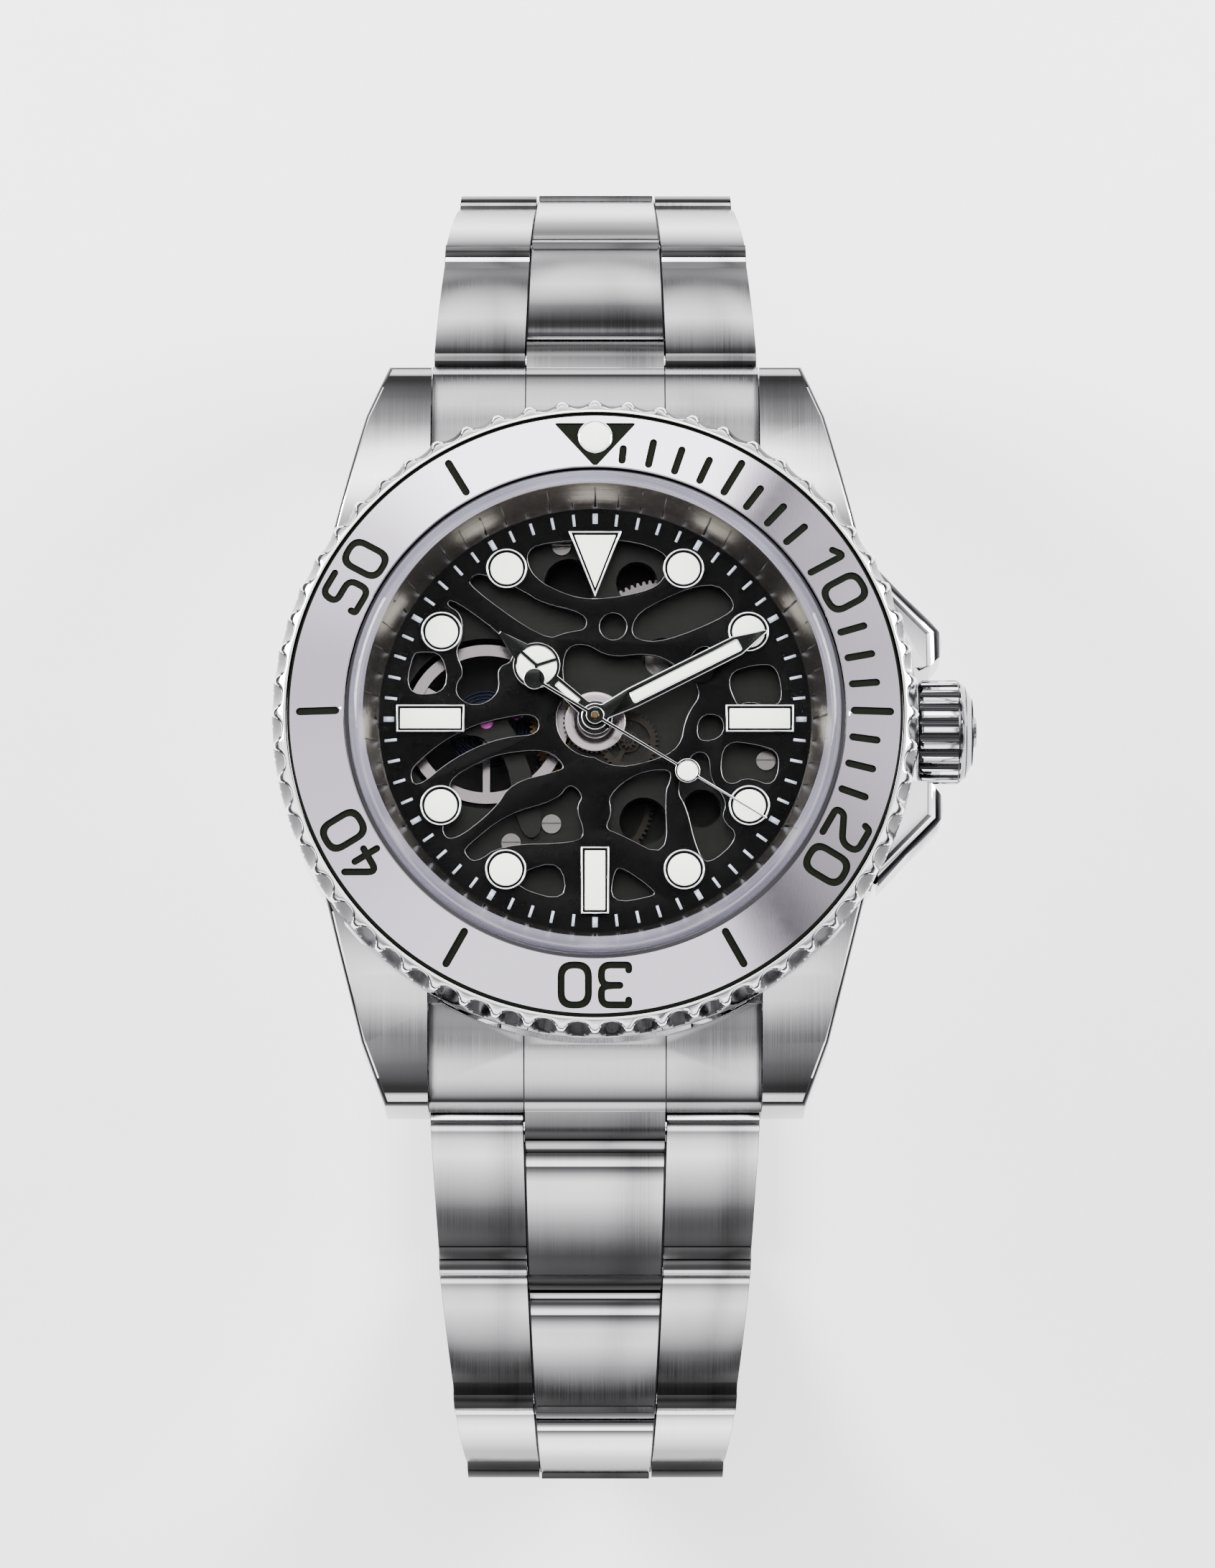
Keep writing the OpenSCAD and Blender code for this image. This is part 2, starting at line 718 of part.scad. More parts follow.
module barrel() {
    drum_r = 4.85;
    color(BRASS)
        at_point(barrel_at, 0)
            difference() {
                union() {
                    translate([0, 0, barrel_z]) cylinder(r = drum_r, h = 1.5);
                    translate([0, 0, barrel_z + 1.47]) linear_extrude(0.4)
                        polygon(gear_points(barrel_teeth, barrel_pitch_r));
                }
                translate([0, 0, barrel_z + 0.2]) cylinder(r = drum_r - 0.3, h = 1.45);
                translate([0, 0, 4]) cylinder(r = 1.2, h = 3, $fn = 48);
            }
}

// A flat spiral band from r_in to r_out
function spiral(r_in, r_out, turns, half, steps) =
    [for (i = [0:steps]) let (t = i / steps, r = r_in + (r_out - r_in) * t + half)
        r * [cos(360 * turns * t), sin(360 * turns * t)]];
function reversed(p) = [for (i = [len(p) - 1:-1:0]) p[i]];

module spiral_band(r_in, r_out, turns, thick, h, steps) {
    linear_extrude(h)
        polygon(concat(spiral(r_in, r_out, turns, thick / 2, steps),
                       reversed(spiral(r_in, r_out, turns, -thick / 2, steps))));
}

module mainspring() {
    color("#8d9096") at_point(barrel_at, barrel_z + 0.3) spiral_band(1.45, 4.4, 7, 0.1, 1.2, 140);
}

module ratchet_wheel() {
    color(STEEL)
        at_point(barrel_at, 0) {
            translate([0, 0, winding_z]) linear_extrude(0.25)
                difference() {
                    polygon(gear_points(40, ratchet_r));
                    circle(0.5, $fn = 32);
                }
            translate([0, 0, winding_z]) cylinder(r = 0.49, h = 0.4, $fn = 32);
            translate([0, 0, winding_z + 0.26]) cylinder(r = 0.8, h = 1.0, $fn = 48);
            translate([0, 0, 4.16]) cylinder(r = 1.1, h = 2.2, $fn = 48);
            translate([0, 0, 6.3]) cylinder(r = 0.6, h = 0.5, $fn = 48);
        }
}

module center_wheel() {
    color(BRASS) {
        translate([0, 0, center_z]) wheel(center_teeth, center_pitch_r, wheel_t, 1.1, cannon_bore_r, 5);
        translate([0, 0, center_z - 0.7])
            pinion(center_leaves, center_leaf_r, 0.7, cannon_bore_r, center_leaf_phase);
        translate([0, 0, center_z + 0.14]) ring(0.42, cannon_bore_r, 1.12);
        translate([0, 0, minute_wheel_z - 0.05])
            pinion(cannon_leaves, cannon_pitch_r, 0.3, cannon_bore_r);
        translate([0, 0, minute_wheel_z + 0.24]) ring(0.44, cannon_bore_r, 1.85);
    }
}

module third_wheel() {
    color(BRASS)
        at_point(third_at, 0) {
            translate([0, 0, third_z]) wheel(third_teeth, third_pitch_r, wheel_t, 0.8, 0, 5);
            translate([0, 0, 6.15]) pinion(third_leaves, third_leaf_r, 0.4, 0, third_phase);
            translate([0, 0, third_z - 0.5]) cylinder(r = 0.25, h = 2.6, $fn = 32);
            translate([0, 0, pivot_z]) cylinder(r = pivot_r, h = 3.9, $fn = 32);
        }
}

module fourth_wheel() {
    color(BRASS) {
        translate([0, 0, fourth_z]) wheel(fourth_teeth, fourth_pitch_r, 0.13, 0.8, 0, 5);
        translate([0, 0, fourth_z + 0.3]) pinion(fourth_leaves, fourth_leaf_r, 0.55, 0, fourth_phase);
        translate([0, 0, fourth_z + 0.1]) cylinder(r = 0.35, h = 1.2, $fn = 32);
        translate([0, 0, pivot_z]) cylinder(r = pivot_r, h = 1.0, $fn = 32);
        translate([0, 0, fourth_z + 1.2]) cylinder(r = 0.2, h = 4.95, $fn = 32);
    }
}

escape_tip_r = 1.9;
module escape_wheel() {
    color(STEEL)
        at_point(escape_at, 0) {
            translate([0, 0, escape_z]) linear_extrude(0.13)
                difference() {
                    polygon([for (i = [0:escape_teeth - 1], c = [[1.4, 0], [1.45, 12], [escape_tip_r, 19],
                                                                 [escape_tip_r - 0.1, 22], [1.42, 19.5]])
                        c[0] * [cos(24 * i + c[1]), sin(24 * i + c[1])]]);
                    difference() {
                        circle(1.2);
                        circle(0.45);
                        for (i = [0:3]) rotate(90 * i) translate([0, -0.12]) square([2, 0.24]);
                    }
                }
            translate([0, 0, escape_z - 1.08]) pinion(escape_leaves, escape_leaf_r, 0.3, 0, escape_phase);
            translate([0, 0, escape_z - 1.1]) cylinder(r = 0.18, h = 2.2, $fn = 32);
            translate([0, 0, pivot_z]) cylinder(r = pivot_r, h = 3, $fn = 32);
        }
}

module pallet_fork() {
    arm = 0.22;
    color(STEEL)
        at_point(fork_at, 0) rotate(fork_dir) {
            translate([0, 0, escape_z - 0.02]) linear_extrude(0.16)
                union() {
                    circle(0.4);
                    translate([0, -arm / 2]) square([1.55, arm]);
                    translate([1.4, 0.18]) square([0.45, 0.14]);
                    translate([1.4, -0.32]) square([0.45, 0.14]);
                    translate([1.38, -0.32]) square([0.14, 0.64]);
                    polygon([[-0.2, 0.3], [0.1, 0.1], [-0.2, -0.3], [-0.75, -1.75], [-0.98, -1.66],
                             [-0.35, 0], [-0.98, 1.66], [-0.75, 1.75]]);
                }
            translate([0, 0, pivot_z]) cylinder(r = pivot_r, h = 3, $fn = 32);
        }
}

rim_out = 5.05;
rim_in = 4.35;
module balance_wheel() {
    color(BRASS)
        at_point(balance_at, 0) {
            translate([0, 0, balance_z]) linear_extrude(0.55)
                difference() {
                    circle(rim_out);
                    circle(rim_in);
                }
            translate([0, 0, balance_z + 0.13]) linear_extrude(0.2)
                difference() {
                    union() {
                        circle(0.7);
                        for (i = [0:2])
                            rotate(120 * i + 30) translate([0, -0.22]) square([rim_in + 0.1, 0.44]);
                    }
                    circle(0.2, $fn = 32);
                }
            translate([0, 0, 3.8]) cylinder(r = 0.2, h = 3.6, $fn = 32);
            translate([0, 0, pivot_z]) cylinder(r = pivot_r, h = 4.6, $fn = 32);
            translate([0, 0, 4.5]) linear_extrude(0.3)
                difference() {
                    circle(0.7);
                    rotate(fork_dir + 180) translate([0.62, 0]) circle(0.16, $fn = 24);
                }
        }
}

module hairspring() {
    color("#5a6a8a") at_point(balance_at, hairspring_z) spiral_band(0.55, 2.5, 9, 0.05, 0.3, 200);
}

module minute_wheel() {
    color(BRASS)
        at_point(minute_wheel_at, 0) {
            translate([0, 0, minute_wheel_z])
                wheel(minute_wheel_teeth, motion_step - cannon_pitch_r, 0.14, 0.7, 0.2, 3,
                      minute_wheel_phase);
            translate([0, 0, minute_wheel_z + 0.13])
                pinion(minute_leaves, motion_step - hour_pitch_r, 0.36, 0.2);
        }
}

module hour_wheel() {
    color(BRASS) {
        translate([0, 0, hour_wheel_z])
            wheel(hour_teeth, hour_pitch_r, 0.14, 1.3, 0.5, 4, hour_wheel_phase);
        translate([0, 0, hour_wheel_z + 0.13]) ring(0.64, 0.5, 1.12);
    }
}

// ---------- winding ----------

module crown() {
    color(STEEL)
        translate([0, 0, stem_z]) rotate([0, 90, 0])
            difference() {
                rotate_extrude()
                    polygon([[0, 20.1], [crown_d / 2 - 0.3, 20.1], [crown_d / 2, 20.4],
                             [crown_d / 2, 22.6], [crown_d / 2 - 0.35, 23.05], [2.1, 23.5],
                             [1.0, 23.62], [0.9, 23.8], [0, 23.8]]);
                for (i = [0:crown_flutes - 1])
                    rotate(i * 360 / crown_flutes)
                        translate([crown_d / 2 + 0.12, 0, 19]) cylinder(r = 0.36, h = 3.75, $fn = 24);
                translate([0, 0, 20]) ring(1.9, 0.5, 2.1);
            }
}

winding_r = 1.36;
module winding_stem() {
    color(STEEL)
        translate([0, 0, stem_z]) rotate([0, 90, 0]) {
            translate([0, 0, 12.2]) cylinder(r = 0.7, h = 7.9 - eps, $fn = 48);
            translate([0, 0, 11.6]) cylinder(r = 0.4, h = 0.7, $fn = 32);
            translate([0, 0, 9.8]) cylinder(r = 0.7, h = 1.9, $fn = 48);
            translate([0, 0, 8.85]) linear_extrude(0.75) polygon(gear_points(14, winding_r));
            translate([0, 0, 7.7]) cylinder(r = 0.45, h = 2.2, $fn = 32);
        }
}

module setting_lever() {
    color(STEEL)
        difference() {
            translate([11.75, -0.7, stem_z - 0.75]) cube([0.4, 2.2, 1.5]);
            translate([11, 0, stem_z]) rotate([0, 90, 0]) cylinder(r = 0.46, h = 2, $fn = 32);
            translate([11, -1, stem_z - 0.46]) cube([2, 1, 0.92]);
        }
}

module crown_wheel() {
    color(STEEL)
        at_point(crown_wheel_at, 0) {
            translate([0, 0, winding_z]) linear_extrude(0.25)
                rotate(crown_wheel_phase) polygon(gear_points(20, crown_wheel_r));
            translate([0, 0, 3.1]) cylinder(r = 0.5, h = 0.1, $fn = 32);
        }
}

rotor_r = 12.6;
rotor_hub_r = 2.2;
module rotor() {
    color("#8f9299")
        difference() {
            union() {
                translate([0, 0, rotor_z]) cylinder(r = rotor_hub_r, h = 0.55);
                intersection() {
                    translate([0, 0, rotor_z]) cylinder(r = rotor_r, h = 0.4);
                    translate([-13, -13, 1]) cube([26, 13, 3]);
                }
                intersection() {
                    translate([0, 0, rotor_z]) ring(rotor_r, 10.2, 1.0);
                    translate([-13, -13, 1]) cube([26, 12, 3]);
                }
            }
            for (a = [-130, -90, -50])
                rotate(a) translate([6.2, 0, 1]) cylinder(r = 1.7, h = 3, $fn = 48);
            translate([0, 0, 1]) cylinder(r = 0.86, h = 3, $fn = 48);
        }
}

// ---------- bracelet ----------

// Puts a shape drawn in a strand's own frame (Y along the strand, Z outward) at a hinge
module on_strand(angles, k, side) {
    h = hinge_at(angles, k);
    a = k < 6 ? angles[k] : 0;
    mirror([0, side == 6 ? 1 : 0, 0])
        translate([0, h[0], h[1]]) rotate([-a, 0, 0]) children();
}

function half_width(s) = let (i = min(5, floor(max(0, s))), t = s - i)
    half_widths[i] * (1 - t) + half_widths[i + 1] * t;

// A bar between two local stations, with its two edges following the strand's taper
module tapered(u0, u1, s0, in_share, in_add, out_share) {
    w0 = half_width(s0 + u0 / pitch);
    w1 = half_width(s0 + u1 / pitch);
    linear_extrude(8, center = true)
        polygon([[w0 * in_share + in_add, u0], [w0 * out_share, u0],
                 [w1 * out_share, u1], [w1 * in_share + in_add, u1]]);
}

module outer_profile() {
    difference() {
        union() {
            circle(end_r);
            translate([0, -end_r]) square([pitch - end_r - hinge_gap / 2, link_t]);
        }
        translate([pitch, 0]) circle(end_r + hinge_gap);
    }
}

module center_profile() {
    difference() {
        union() {
            translate([pitch, 0]) circle(end_r);
            translate([end_r / 2, -end_r]) square([pitch - end_r / 2, link_t]);
        }
        circle(end_r + hinge_gap);
    }
}

module row_parts(k) {
    w = half_width(k);
    color(STEEL) {
        for (mx = [0, 1])
            mirror([mx, 0, 0])
                difference() {
                    intersection() {
                        along_x(30) outer_profile();
                        tapered(-end_r - 1, pitch, k, center_share, side_gap, 1);
                    }
                    x_pin(pin_d, 30);
                    x_pin(pin_d, 30, fixed_pin_u);
                }
        difference() {
            intersection() {
                along_x(30) center_profile();
                for (mx = [0, 1]) mirror([mx, 0, 0])
                    tapered(0, pitch + 2, k, 0, 0, center_share);
            }
            x_pin(pin_d + 0.08, 30, pitch);
            x_pin(pin_d, 30, fixed_pin_u);
        }
        x_pin(pin_d - 0.01, 2 * w - 1.2);
        x_pin(pin_d - 0.01, 2 * w - 2.2, fixed_pin_u);
    }
}

module row(angles, k, side) {
    on_strand(angles, k, side) row_parts(k);
}

// The last row on the 12 o'clock side carries the spring bar of the open pivot
module last_row_12() {
    row(row_angles_12, 5, 12);
    color(STEEL) on_strand(row_angles_12, 5, 12) x_pin(pin_d + 0.06, 11, pitch);
}

module end_link() {
    w = half_width(0) * center_share;
    color(STEEL)
        difference() {
            union() {
                intersection() {
                    along_x(lug_gap - 0.1) polygon([[17.5, 6.6], [20.0, 5.9], [22.4, 4.75],
                        [hinge0[0] - 0.5, hinge0[1] + 1.32], [hinge0[0] - 0.5, hinge0[1] - 1.4],
                        [17.5, 0.2]]);
                    translate([-30, 0, -5]) cube([60, 60, 20]);
                }
                along_x(2 * w) union() {
                    translate(hinge0) circle(end_r);
                    translate([hinge0[0] - 3, hinge0[1] - end_r]) square([3, link_t]);
                }
            }
            translate([0, 0, -2]) cylinder(r = case_r + 0.05, h = 12);
            for (mx = [0, 1]) mirror([mx, 0, 0])
                translate([w, 0, 0])
                    along_half(20) translate(hinge0) circle(end_r + hinge_gap);
            x_pin(pin_d + 0.08, 30, hinge0[0], hinge0[1]);
            x_pin(0.9, 40, bar_y, bar_z);
        }
}

module end_links() {
    end_link();
    mirror([0, 1, 0]) end_link();
}

module lug_bars() {
    color(STEEL)
        for (my = [-1, 1]) x_pin(0.88, 23.6, my * bar_y, bar_z);
}

// ---------- clasp ----------

cover_hw = 8.2;
cover_wall = 0.9;
cover_out = 2.3;
cover_in = -1.2;
cover_u0 = 2.2;
cover_u1 = clasp_len - 2.4;
blade_hw = 6.4;
blade_t = 0.6;
fold_u0 = 6.2;
fold_u1 = clasp_len - 6.2;
fold_w0 = -0.3;
fold_w1 = 0.3;
knuckle_r = 0.75;
center_tongue_hw = half_width(6) * center_share;

// Clasp frame: Y runs from the 6 o'clock hinge to the 12 o'clock hinge, Z points at the wrist
module on_clasp() {
    translate([0, -end_6[0], end_6[1]]) rotate([clasp_tilt, 0, 0]) children();
}

module clasp_cover() {
    color(STEEL)
        on_clasp()
            difference() {
                union() {
                    difference() {
                        translate([-cover_hw, cover_u0, -cover_out])
                            cube([2 * cover_hw, cover_u1 - cover_u0, cover_out - cover_in]);
                        translate([-cover_hw + cover_wall, cover_u0 - 1, -cover_out + cover_wall])
                            cube([2 * (cover_hw - cover_wall), clasp_len, 9]);
                    }
                    // ears of the 6 o'clock spring bar
                    for (mx = [0, 1])
                        mirror([mx, 0, 0])
                            translate([center_tongue_hw + side_gap, 0, 0])
                                along_half(cover_hw - center_tongue_hw - side_gap - 0.6)
                                    union() {
                                        circle(end_r);
                                        translate([0, -end_r]) square([3.6, 1.2]);
                                    }
                }
                x_pin(pin_d, 40);
                x_pin(0.8, 40, fold_u1, -fold_w1);
                x_pin(0.71, 40, catch_u, catch_w);
            }
    color(STEEL) on_clasp() {
        x_pin(0.7, 2 * cover_hw + 1.2, catch_u, catch_w);
        x_pin(pin_d - 0.01, 2 * cover_hw - 1.8);
        x_pin(0.79, 2 * cover_hw - 0.8, fold_u1, -fold_w1);
    }
}

module clasp_blade() {
    color(STEEL)
        on_clasp()
            difference() {
                union() {
                    translate([-blade_hw, fold_u0, -fold_w1 - blade_t / 2])
                        cube([2 * blade_hw, fold_u1 - fold_u0, blade_t]);
                    x_pin(2 * knuckle_r, 2 * blade_hw, fold_u1, -fold_w1);
                    x_pin(2 * knuckle_r, 2 * 2.6, fold_u0, -fold_w0);
                }
                x_pin(0.88, 40, fold_u1, -fold_w1);
                x_pin(0.8, 40, fold_u0, -fold_w0);
                for (mx = [0, 1])
                    mirror([mx, 0, 0]) translate([2.6, fold_u0 - 1.5, -3]) cube([9, 2.6, 6]);
                translate([-3.2, 14, -3]) cube([6.4, 14, 6]);
            }
    color(STEEL) on_clasp() x_pin(0.79, 10.4, fold_u0, -fold_w0);
}

module clasp_inner_blade() {
    color(STEEL)
        on_clasp()
            difference() {
                union() {
                    translate([-blade_hw, fold_u0, 0.55])
                        cube([2 * blade_hw, clasp_len - fold_u0 - 3.4, blade_t]);
                    translate([-blade_hw, clasp_len - 3.6, -0.4]) cube([2 * blade_hw, 1.4, 1.55]);
                    for (mx = [0, 1]) mirror([mx, 0, 0]) translate([2.8, 0, 0])
                        along_half(2.6) translate([fold_u0, -fold_w0]) circle(knuckle_r);
                }
                x_pin(0.88, 40, fold_u0, -fold_w0);
                translate([-2.75, fold_u0 - 2, -3]) cube([5.5, 3.2, 6]);
            }
}

catch_u = clasp_len - 4.4;
catch_w = -1.6;
catch_t = 0.5;
module clasp_catch() {
    reach = cover_hw + 0.1 + catch_t;
    color(STEEL)
        on_clasp()
            difference() {
                translate([-reach, catch_u - 0.6, -2.2]) cube([2 * reach, 3.1, 1.2]);
                translate([-cover_hw - 0.1, catch_u - 1, -3]) cube([2 * cover_hw + 0.2, 3.1, 4]);
                x_pin(0.78, 60, catch_u, catch_w);
            }
}

mid_case();
crown_tube();
case_back();
back_crystal();
gaskets();
crystal();
rehaut();
movement_ring();
dial();
hour_markers();
marker_lume();
main_plate();
train_bridge();
balance_cock();
jewels();
bridge_screws();
lug_bars();
end_links();
bezel();
bezel_insert();
bezel_pip();
hour_hand();
hour_lume();
minute_hand();
minute_lume();
seconds_hand();
seconds_lume();
barrel();
mainspring();
ratchet_wheel();
center_wheel();
third_wheel();
fourth_wheel();
escape_wheel();
pallet_fork();
balance_wheel();
hairspring();
minute_wheel();
hour_wheel();
crown();
winding_stem();
setting_lever();
crown_wheel();
rotor();
row(row_angles_12, 0, 12);  // row_12_1
row(row_angles_12, 1, 12);  // row_12_2
row(row_angles_12, 2, 12);  // row_12_3
row(row_angles_12, 3, 12);  // row_12_4
row(row_angles_12, 4, 12);  // row_12_5
last_row_12();  // row_12_6
row(row_angles_6, 0, 6);  // row_6_1
row(row_angles_6, 1, 6);  // row_6_2
row(row_angles_6, 2, 6);  // row_6_3
row(row_angles_6, 3, 6);  // row_6_4
row(row_angles_6, 4, 6);  // row_6_5
row(row_angles_6, 5, 6);  // row_6_6
clasp_cover();
clasp_blade();
clasp_inner_blade();
clasp_catch();
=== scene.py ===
"""Looks of the skeleton dive watch: finer meshes, finishes, stage, light and camera around its frame."""

import json
import math

import bmesh
import bpy
from mathutils import Matrix, Vector

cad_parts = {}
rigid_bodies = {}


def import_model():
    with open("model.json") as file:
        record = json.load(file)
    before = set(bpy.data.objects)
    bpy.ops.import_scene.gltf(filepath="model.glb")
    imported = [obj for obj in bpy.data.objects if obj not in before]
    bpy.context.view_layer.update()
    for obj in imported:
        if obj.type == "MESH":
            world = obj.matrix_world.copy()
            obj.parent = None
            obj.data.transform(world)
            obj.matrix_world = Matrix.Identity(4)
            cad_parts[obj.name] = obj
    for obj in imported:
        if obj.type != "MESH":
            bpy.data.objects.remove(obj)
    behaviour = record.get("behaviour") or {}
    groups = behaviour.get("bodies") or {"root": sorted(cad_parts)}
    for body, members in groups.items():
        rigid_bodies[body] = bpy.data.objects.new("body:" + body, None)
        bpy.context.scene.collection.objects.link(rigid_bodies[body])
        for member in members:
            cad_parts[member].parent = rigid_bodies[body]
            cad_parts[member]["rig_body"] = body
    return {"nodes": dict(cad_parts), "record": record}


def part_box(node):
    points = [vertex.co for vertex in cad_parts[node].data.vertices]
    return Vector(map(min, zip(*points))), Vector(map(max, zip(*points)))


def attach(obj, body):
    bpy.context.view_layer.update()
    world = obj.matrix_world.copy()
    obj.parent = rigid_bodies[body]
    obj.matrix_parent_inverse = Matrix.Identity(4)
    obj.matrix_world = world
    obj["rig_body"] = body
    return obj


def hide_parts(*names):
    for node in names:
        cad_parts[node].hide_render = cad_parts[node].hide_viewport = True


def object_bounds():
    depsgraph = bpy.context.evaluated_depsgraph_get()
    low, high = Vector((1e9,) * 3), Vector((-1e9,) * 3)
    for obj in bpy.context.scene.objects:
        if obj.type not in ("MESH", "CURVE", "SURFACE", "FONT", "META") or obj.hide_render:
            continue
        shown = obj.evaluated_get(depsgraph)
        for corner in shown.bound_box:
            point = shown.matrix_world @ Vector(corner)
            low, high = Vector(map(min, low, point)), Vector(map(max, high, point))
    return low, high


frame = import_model()
cad_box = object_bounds()
NODES = frame["nodes"]
MM = 0.001

# Heights taken from the frame, and the body that each node belongs to
DIAL_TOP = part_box("dial")[1].z
BEZEL_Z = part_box("bezel")[0].z / MM
BODY_OF = {n: o["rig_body"] for n, o in NODES.items()}

# ---------------------------------------------------------------- materials


def principled(name, color, metallic=0.0, roughness=0.5, **sockets):
    """A material with its Principled shader, and (material, nodes, links, shader)."""
    material = bpy.data.materials.new(name)
    material.use_nodes = True
    nodes, links = material.node_tree.nodes, material.node_tree.links
    shader = nodes["Principled BSDF"]
    shader.inputs["Base Color"].default_value = (*color, 1)
    shader.inputs["Metallic"].default_value = metallic
    shader.inputs["Roughness"].default_value = roughness
    for socket, value in sockets.items():
        shader.inputs[socket.replace("_", " ")].default_value = value
    return material, nodes, links, shader


def scaled_noise(nodes, links, scale, detail=3.0, rough=0.55):
    """Noise over the object's own coordinates, stretched by a scale per axis (cycles per metre)."""
    place = nodes.new("ShaderNodeTexCoord")
    stretch = nodes.new("ShaderNodeMapping")
    stretch.inputs["Scale"].default_value = scale
    noise = nodes.new("ShaderNodeTexNoise")
    noise.inputs["Scale"].default_value = 1.0
    noise.inputs["Detail"].default_value = detail
    noise.inputs["Roughness"].default_value = rough
    links.new(place.outputs["Object"], stretch.inputs["Vector"])
    links.new(stretch.outputs["Vector"], noise.inputs["Vector"])
    return noise


def ramp(nodes, links, source, low, high, start=0.3, end=0.7):
    """A colour ramp between two values or two colours."""
    node = nodes.new("ShaderNodeValToRGB")
    for stop, place, value in zip(node.color_ramp.elements, (start, end), (low, high)):
        stop.position = place
        stop.color = (value, value, value, 1) if isinstance(value, float) else (*value, 1)
    links.new(source, node.inputs["Fac"])
    return node


def stop_ramp(nodes, links, source, stops, tint=(1, 1, 1), ease=False):
    """A ramp through any number of (place, value) stops, grey unless tinted."""
    node = nodes.new("ShaderNodeValToRGB")
    if ease:
        node.color_ramp.interpolation = "EASE"
    elements = node.color_ramp.elements
    while len(elements) < len(stops):
        elements.new(0.5)
    for element, (place, value) in zip(elements, stops):
        element.position = place
        element.color = (value * tint[0], value * tint[1], value * tint[2], 1)
    links.new(source, node.inputs["Fac"])
    return node.outputs["Color"]


def bump(nodes, links, shader, height, strength, distance):
    """Small relief from a height value, over a distance in metres."""
    node = nodes.new("ShaderNodeBump")
    node.inputs["Strength"].default_value = strength
    node.inputs["Distance"].default_value = distance
    links.new(height, node.inputs["Height"])
    links.new(node.outputs["Normal"], shader.inputs["Normal"])


def multiplied(nodes, links, first, second):
    """The product of two colours."""
    both = nodes.new("ShaderNodeMix")
    both.data_type = "RGBA"
    both.blend_type = "MULTIPLY"
    both.inputs["Factor"].default_value = 1
    links.new(first, both.inputs["A"])
    links.new(second, both.inputs["B"])
    return both.outputs["Result"]


def length_shade(stops, reach=26):
    """Painted shade by distance in mm from the line through 3 and 9 o'clock, by (distance, factor) stops."""
    def shade(nodes, links):
        place = nodes.new("ShaderNodeTexCoord")
        split = nodes.new("ShaderNodeSeparateXYZ")
        links.new(place.outputs["Object"], split.inputs["Vector"])
        size = nodes.new("ShaderNodeMath")
        size.operation = "ABSOLUTE"
        links.new(split.outputs["Y"], size.inputs[0])
        share = nodes.new("ShaderNodeMath")
        share.operation = "DIVIDE"
        share.inputs[1].default_value = reach * MM
        links.new(size.outputs["Value"], share.inputs[0])
        return stop_ramp(nodes, links, share.outputs["Value"], [(d / reach, value) for d, value in stops])
    return shade


def along_shade(stops):
    """Painted shade by the mesh's own "along" attribute, from 0 at a link's near end to 1 at its far end."""
    def shade(nodes, links):
        along = nodes.new("ShaderNodeAttribute")
        along.attribute_name = "along"
        return stop_ramp(nodes, links, along.outputs["Fac"], stops)
    return shade


def brushed(name, color, roughness, across, along=60, depth=0.15, spread=0.05, shade=None):
    """Metal brushed along one direction: fine lines across `across`, long lines the other way."""
    material, nodes, links, shader = principled(name, color, 1.0, roughness)
    scale = [along] * 3
    scale["XYZ".index(across)] = 24000
    lines = scaled_noise(nodes, links, scale, 2.5)
    tone = ramp(nodes, links, lines.outputs["Fac"], tuple(c * 0.94 for c in color),
                tuple(min(1, c * 1.03) for c in color)).outputs["Color"]
    # Painted light and shade: the shade function's bands multiply the colour
    if shade:
        tone = multiplied(nodes, links, tone, shade(nodes, links))
    links.new(tone, shader.inputs["Base Color"])
    rough = ramp(nodes, links, lines.outputs["Fac"], roughness - spread, roughness + spread)
    links.new(rough.outputs["Color"], shader.inputs["Roughness"])
    bump(nodes, links, shader, lines.outputs["Fac"], depth, 0.00002)
    return material


def polished(name, color, roughness=0.07):
    """Mirror-polished metal with faint smears and hairline scratches."""
    material, nodes, links, shader = principled(name, color, 1.0, roughness)
    smear = scaled_noise(nodes, links, (420, 420, 420), 4)
    rough = ramp(nodes, links, smear.outputs["Fac"], roughness * 0.6, roughness * 1.6)
    links.new(rough.outputs["Color"], shader.inputs["Roughness"])
    hair = scaled_noise(nodes, links, (9000, 2500, 5000), 2)
    bump(nodes, links, shader, hair.outputs["Fac"], 0.03, 0.00001)
    return material


def turned(name, color, roughness):
    """Metal turned on a lathe: fine circles around the watch's axis."""
    material, nodes, links, shader = principled(name, color, 1.0, roughness)
    place = nodes.new("ShaderNodeTexCoord")
    split = nodes.new("ShaderNodeSeparateXYZ")
    links.new(place.outputs["Object"], split.inputs["Vector"])
    flat = nodes.new("ShaderNodeCombineXYZ")
    links.new(split.outputs["X"], flat.inputs["X"])
    links.new(split.outputs["Y"], flat.inputs["Y"])
    radius = nodes.new("ShaderNodeVectorMath")
    radius.operation = "LENGTH"
    links.new(flat.outputs["Vector"], radius.inputs[0])
    noise = nodes.new("ShaderNodeTexNoise")
    noise.noise_dimensions = "1D"
    noise.inputs["Scale"].default_value = 16000
    noise.inputs["Detail"].default_value = 2
    links.new(radius.outputs["Value"], noise.inputs["W"])
    tone = ramp(nodes, links, noise.outputs["Fac"], tuple(c * 0.86 for c in color), color)
    links.new(tone.outputs["Color"], shader.inputs["Base Color"])
    bump(nodes, links, shader, noise.outputs["Fac"], 0.2, 0.00002)
    return material


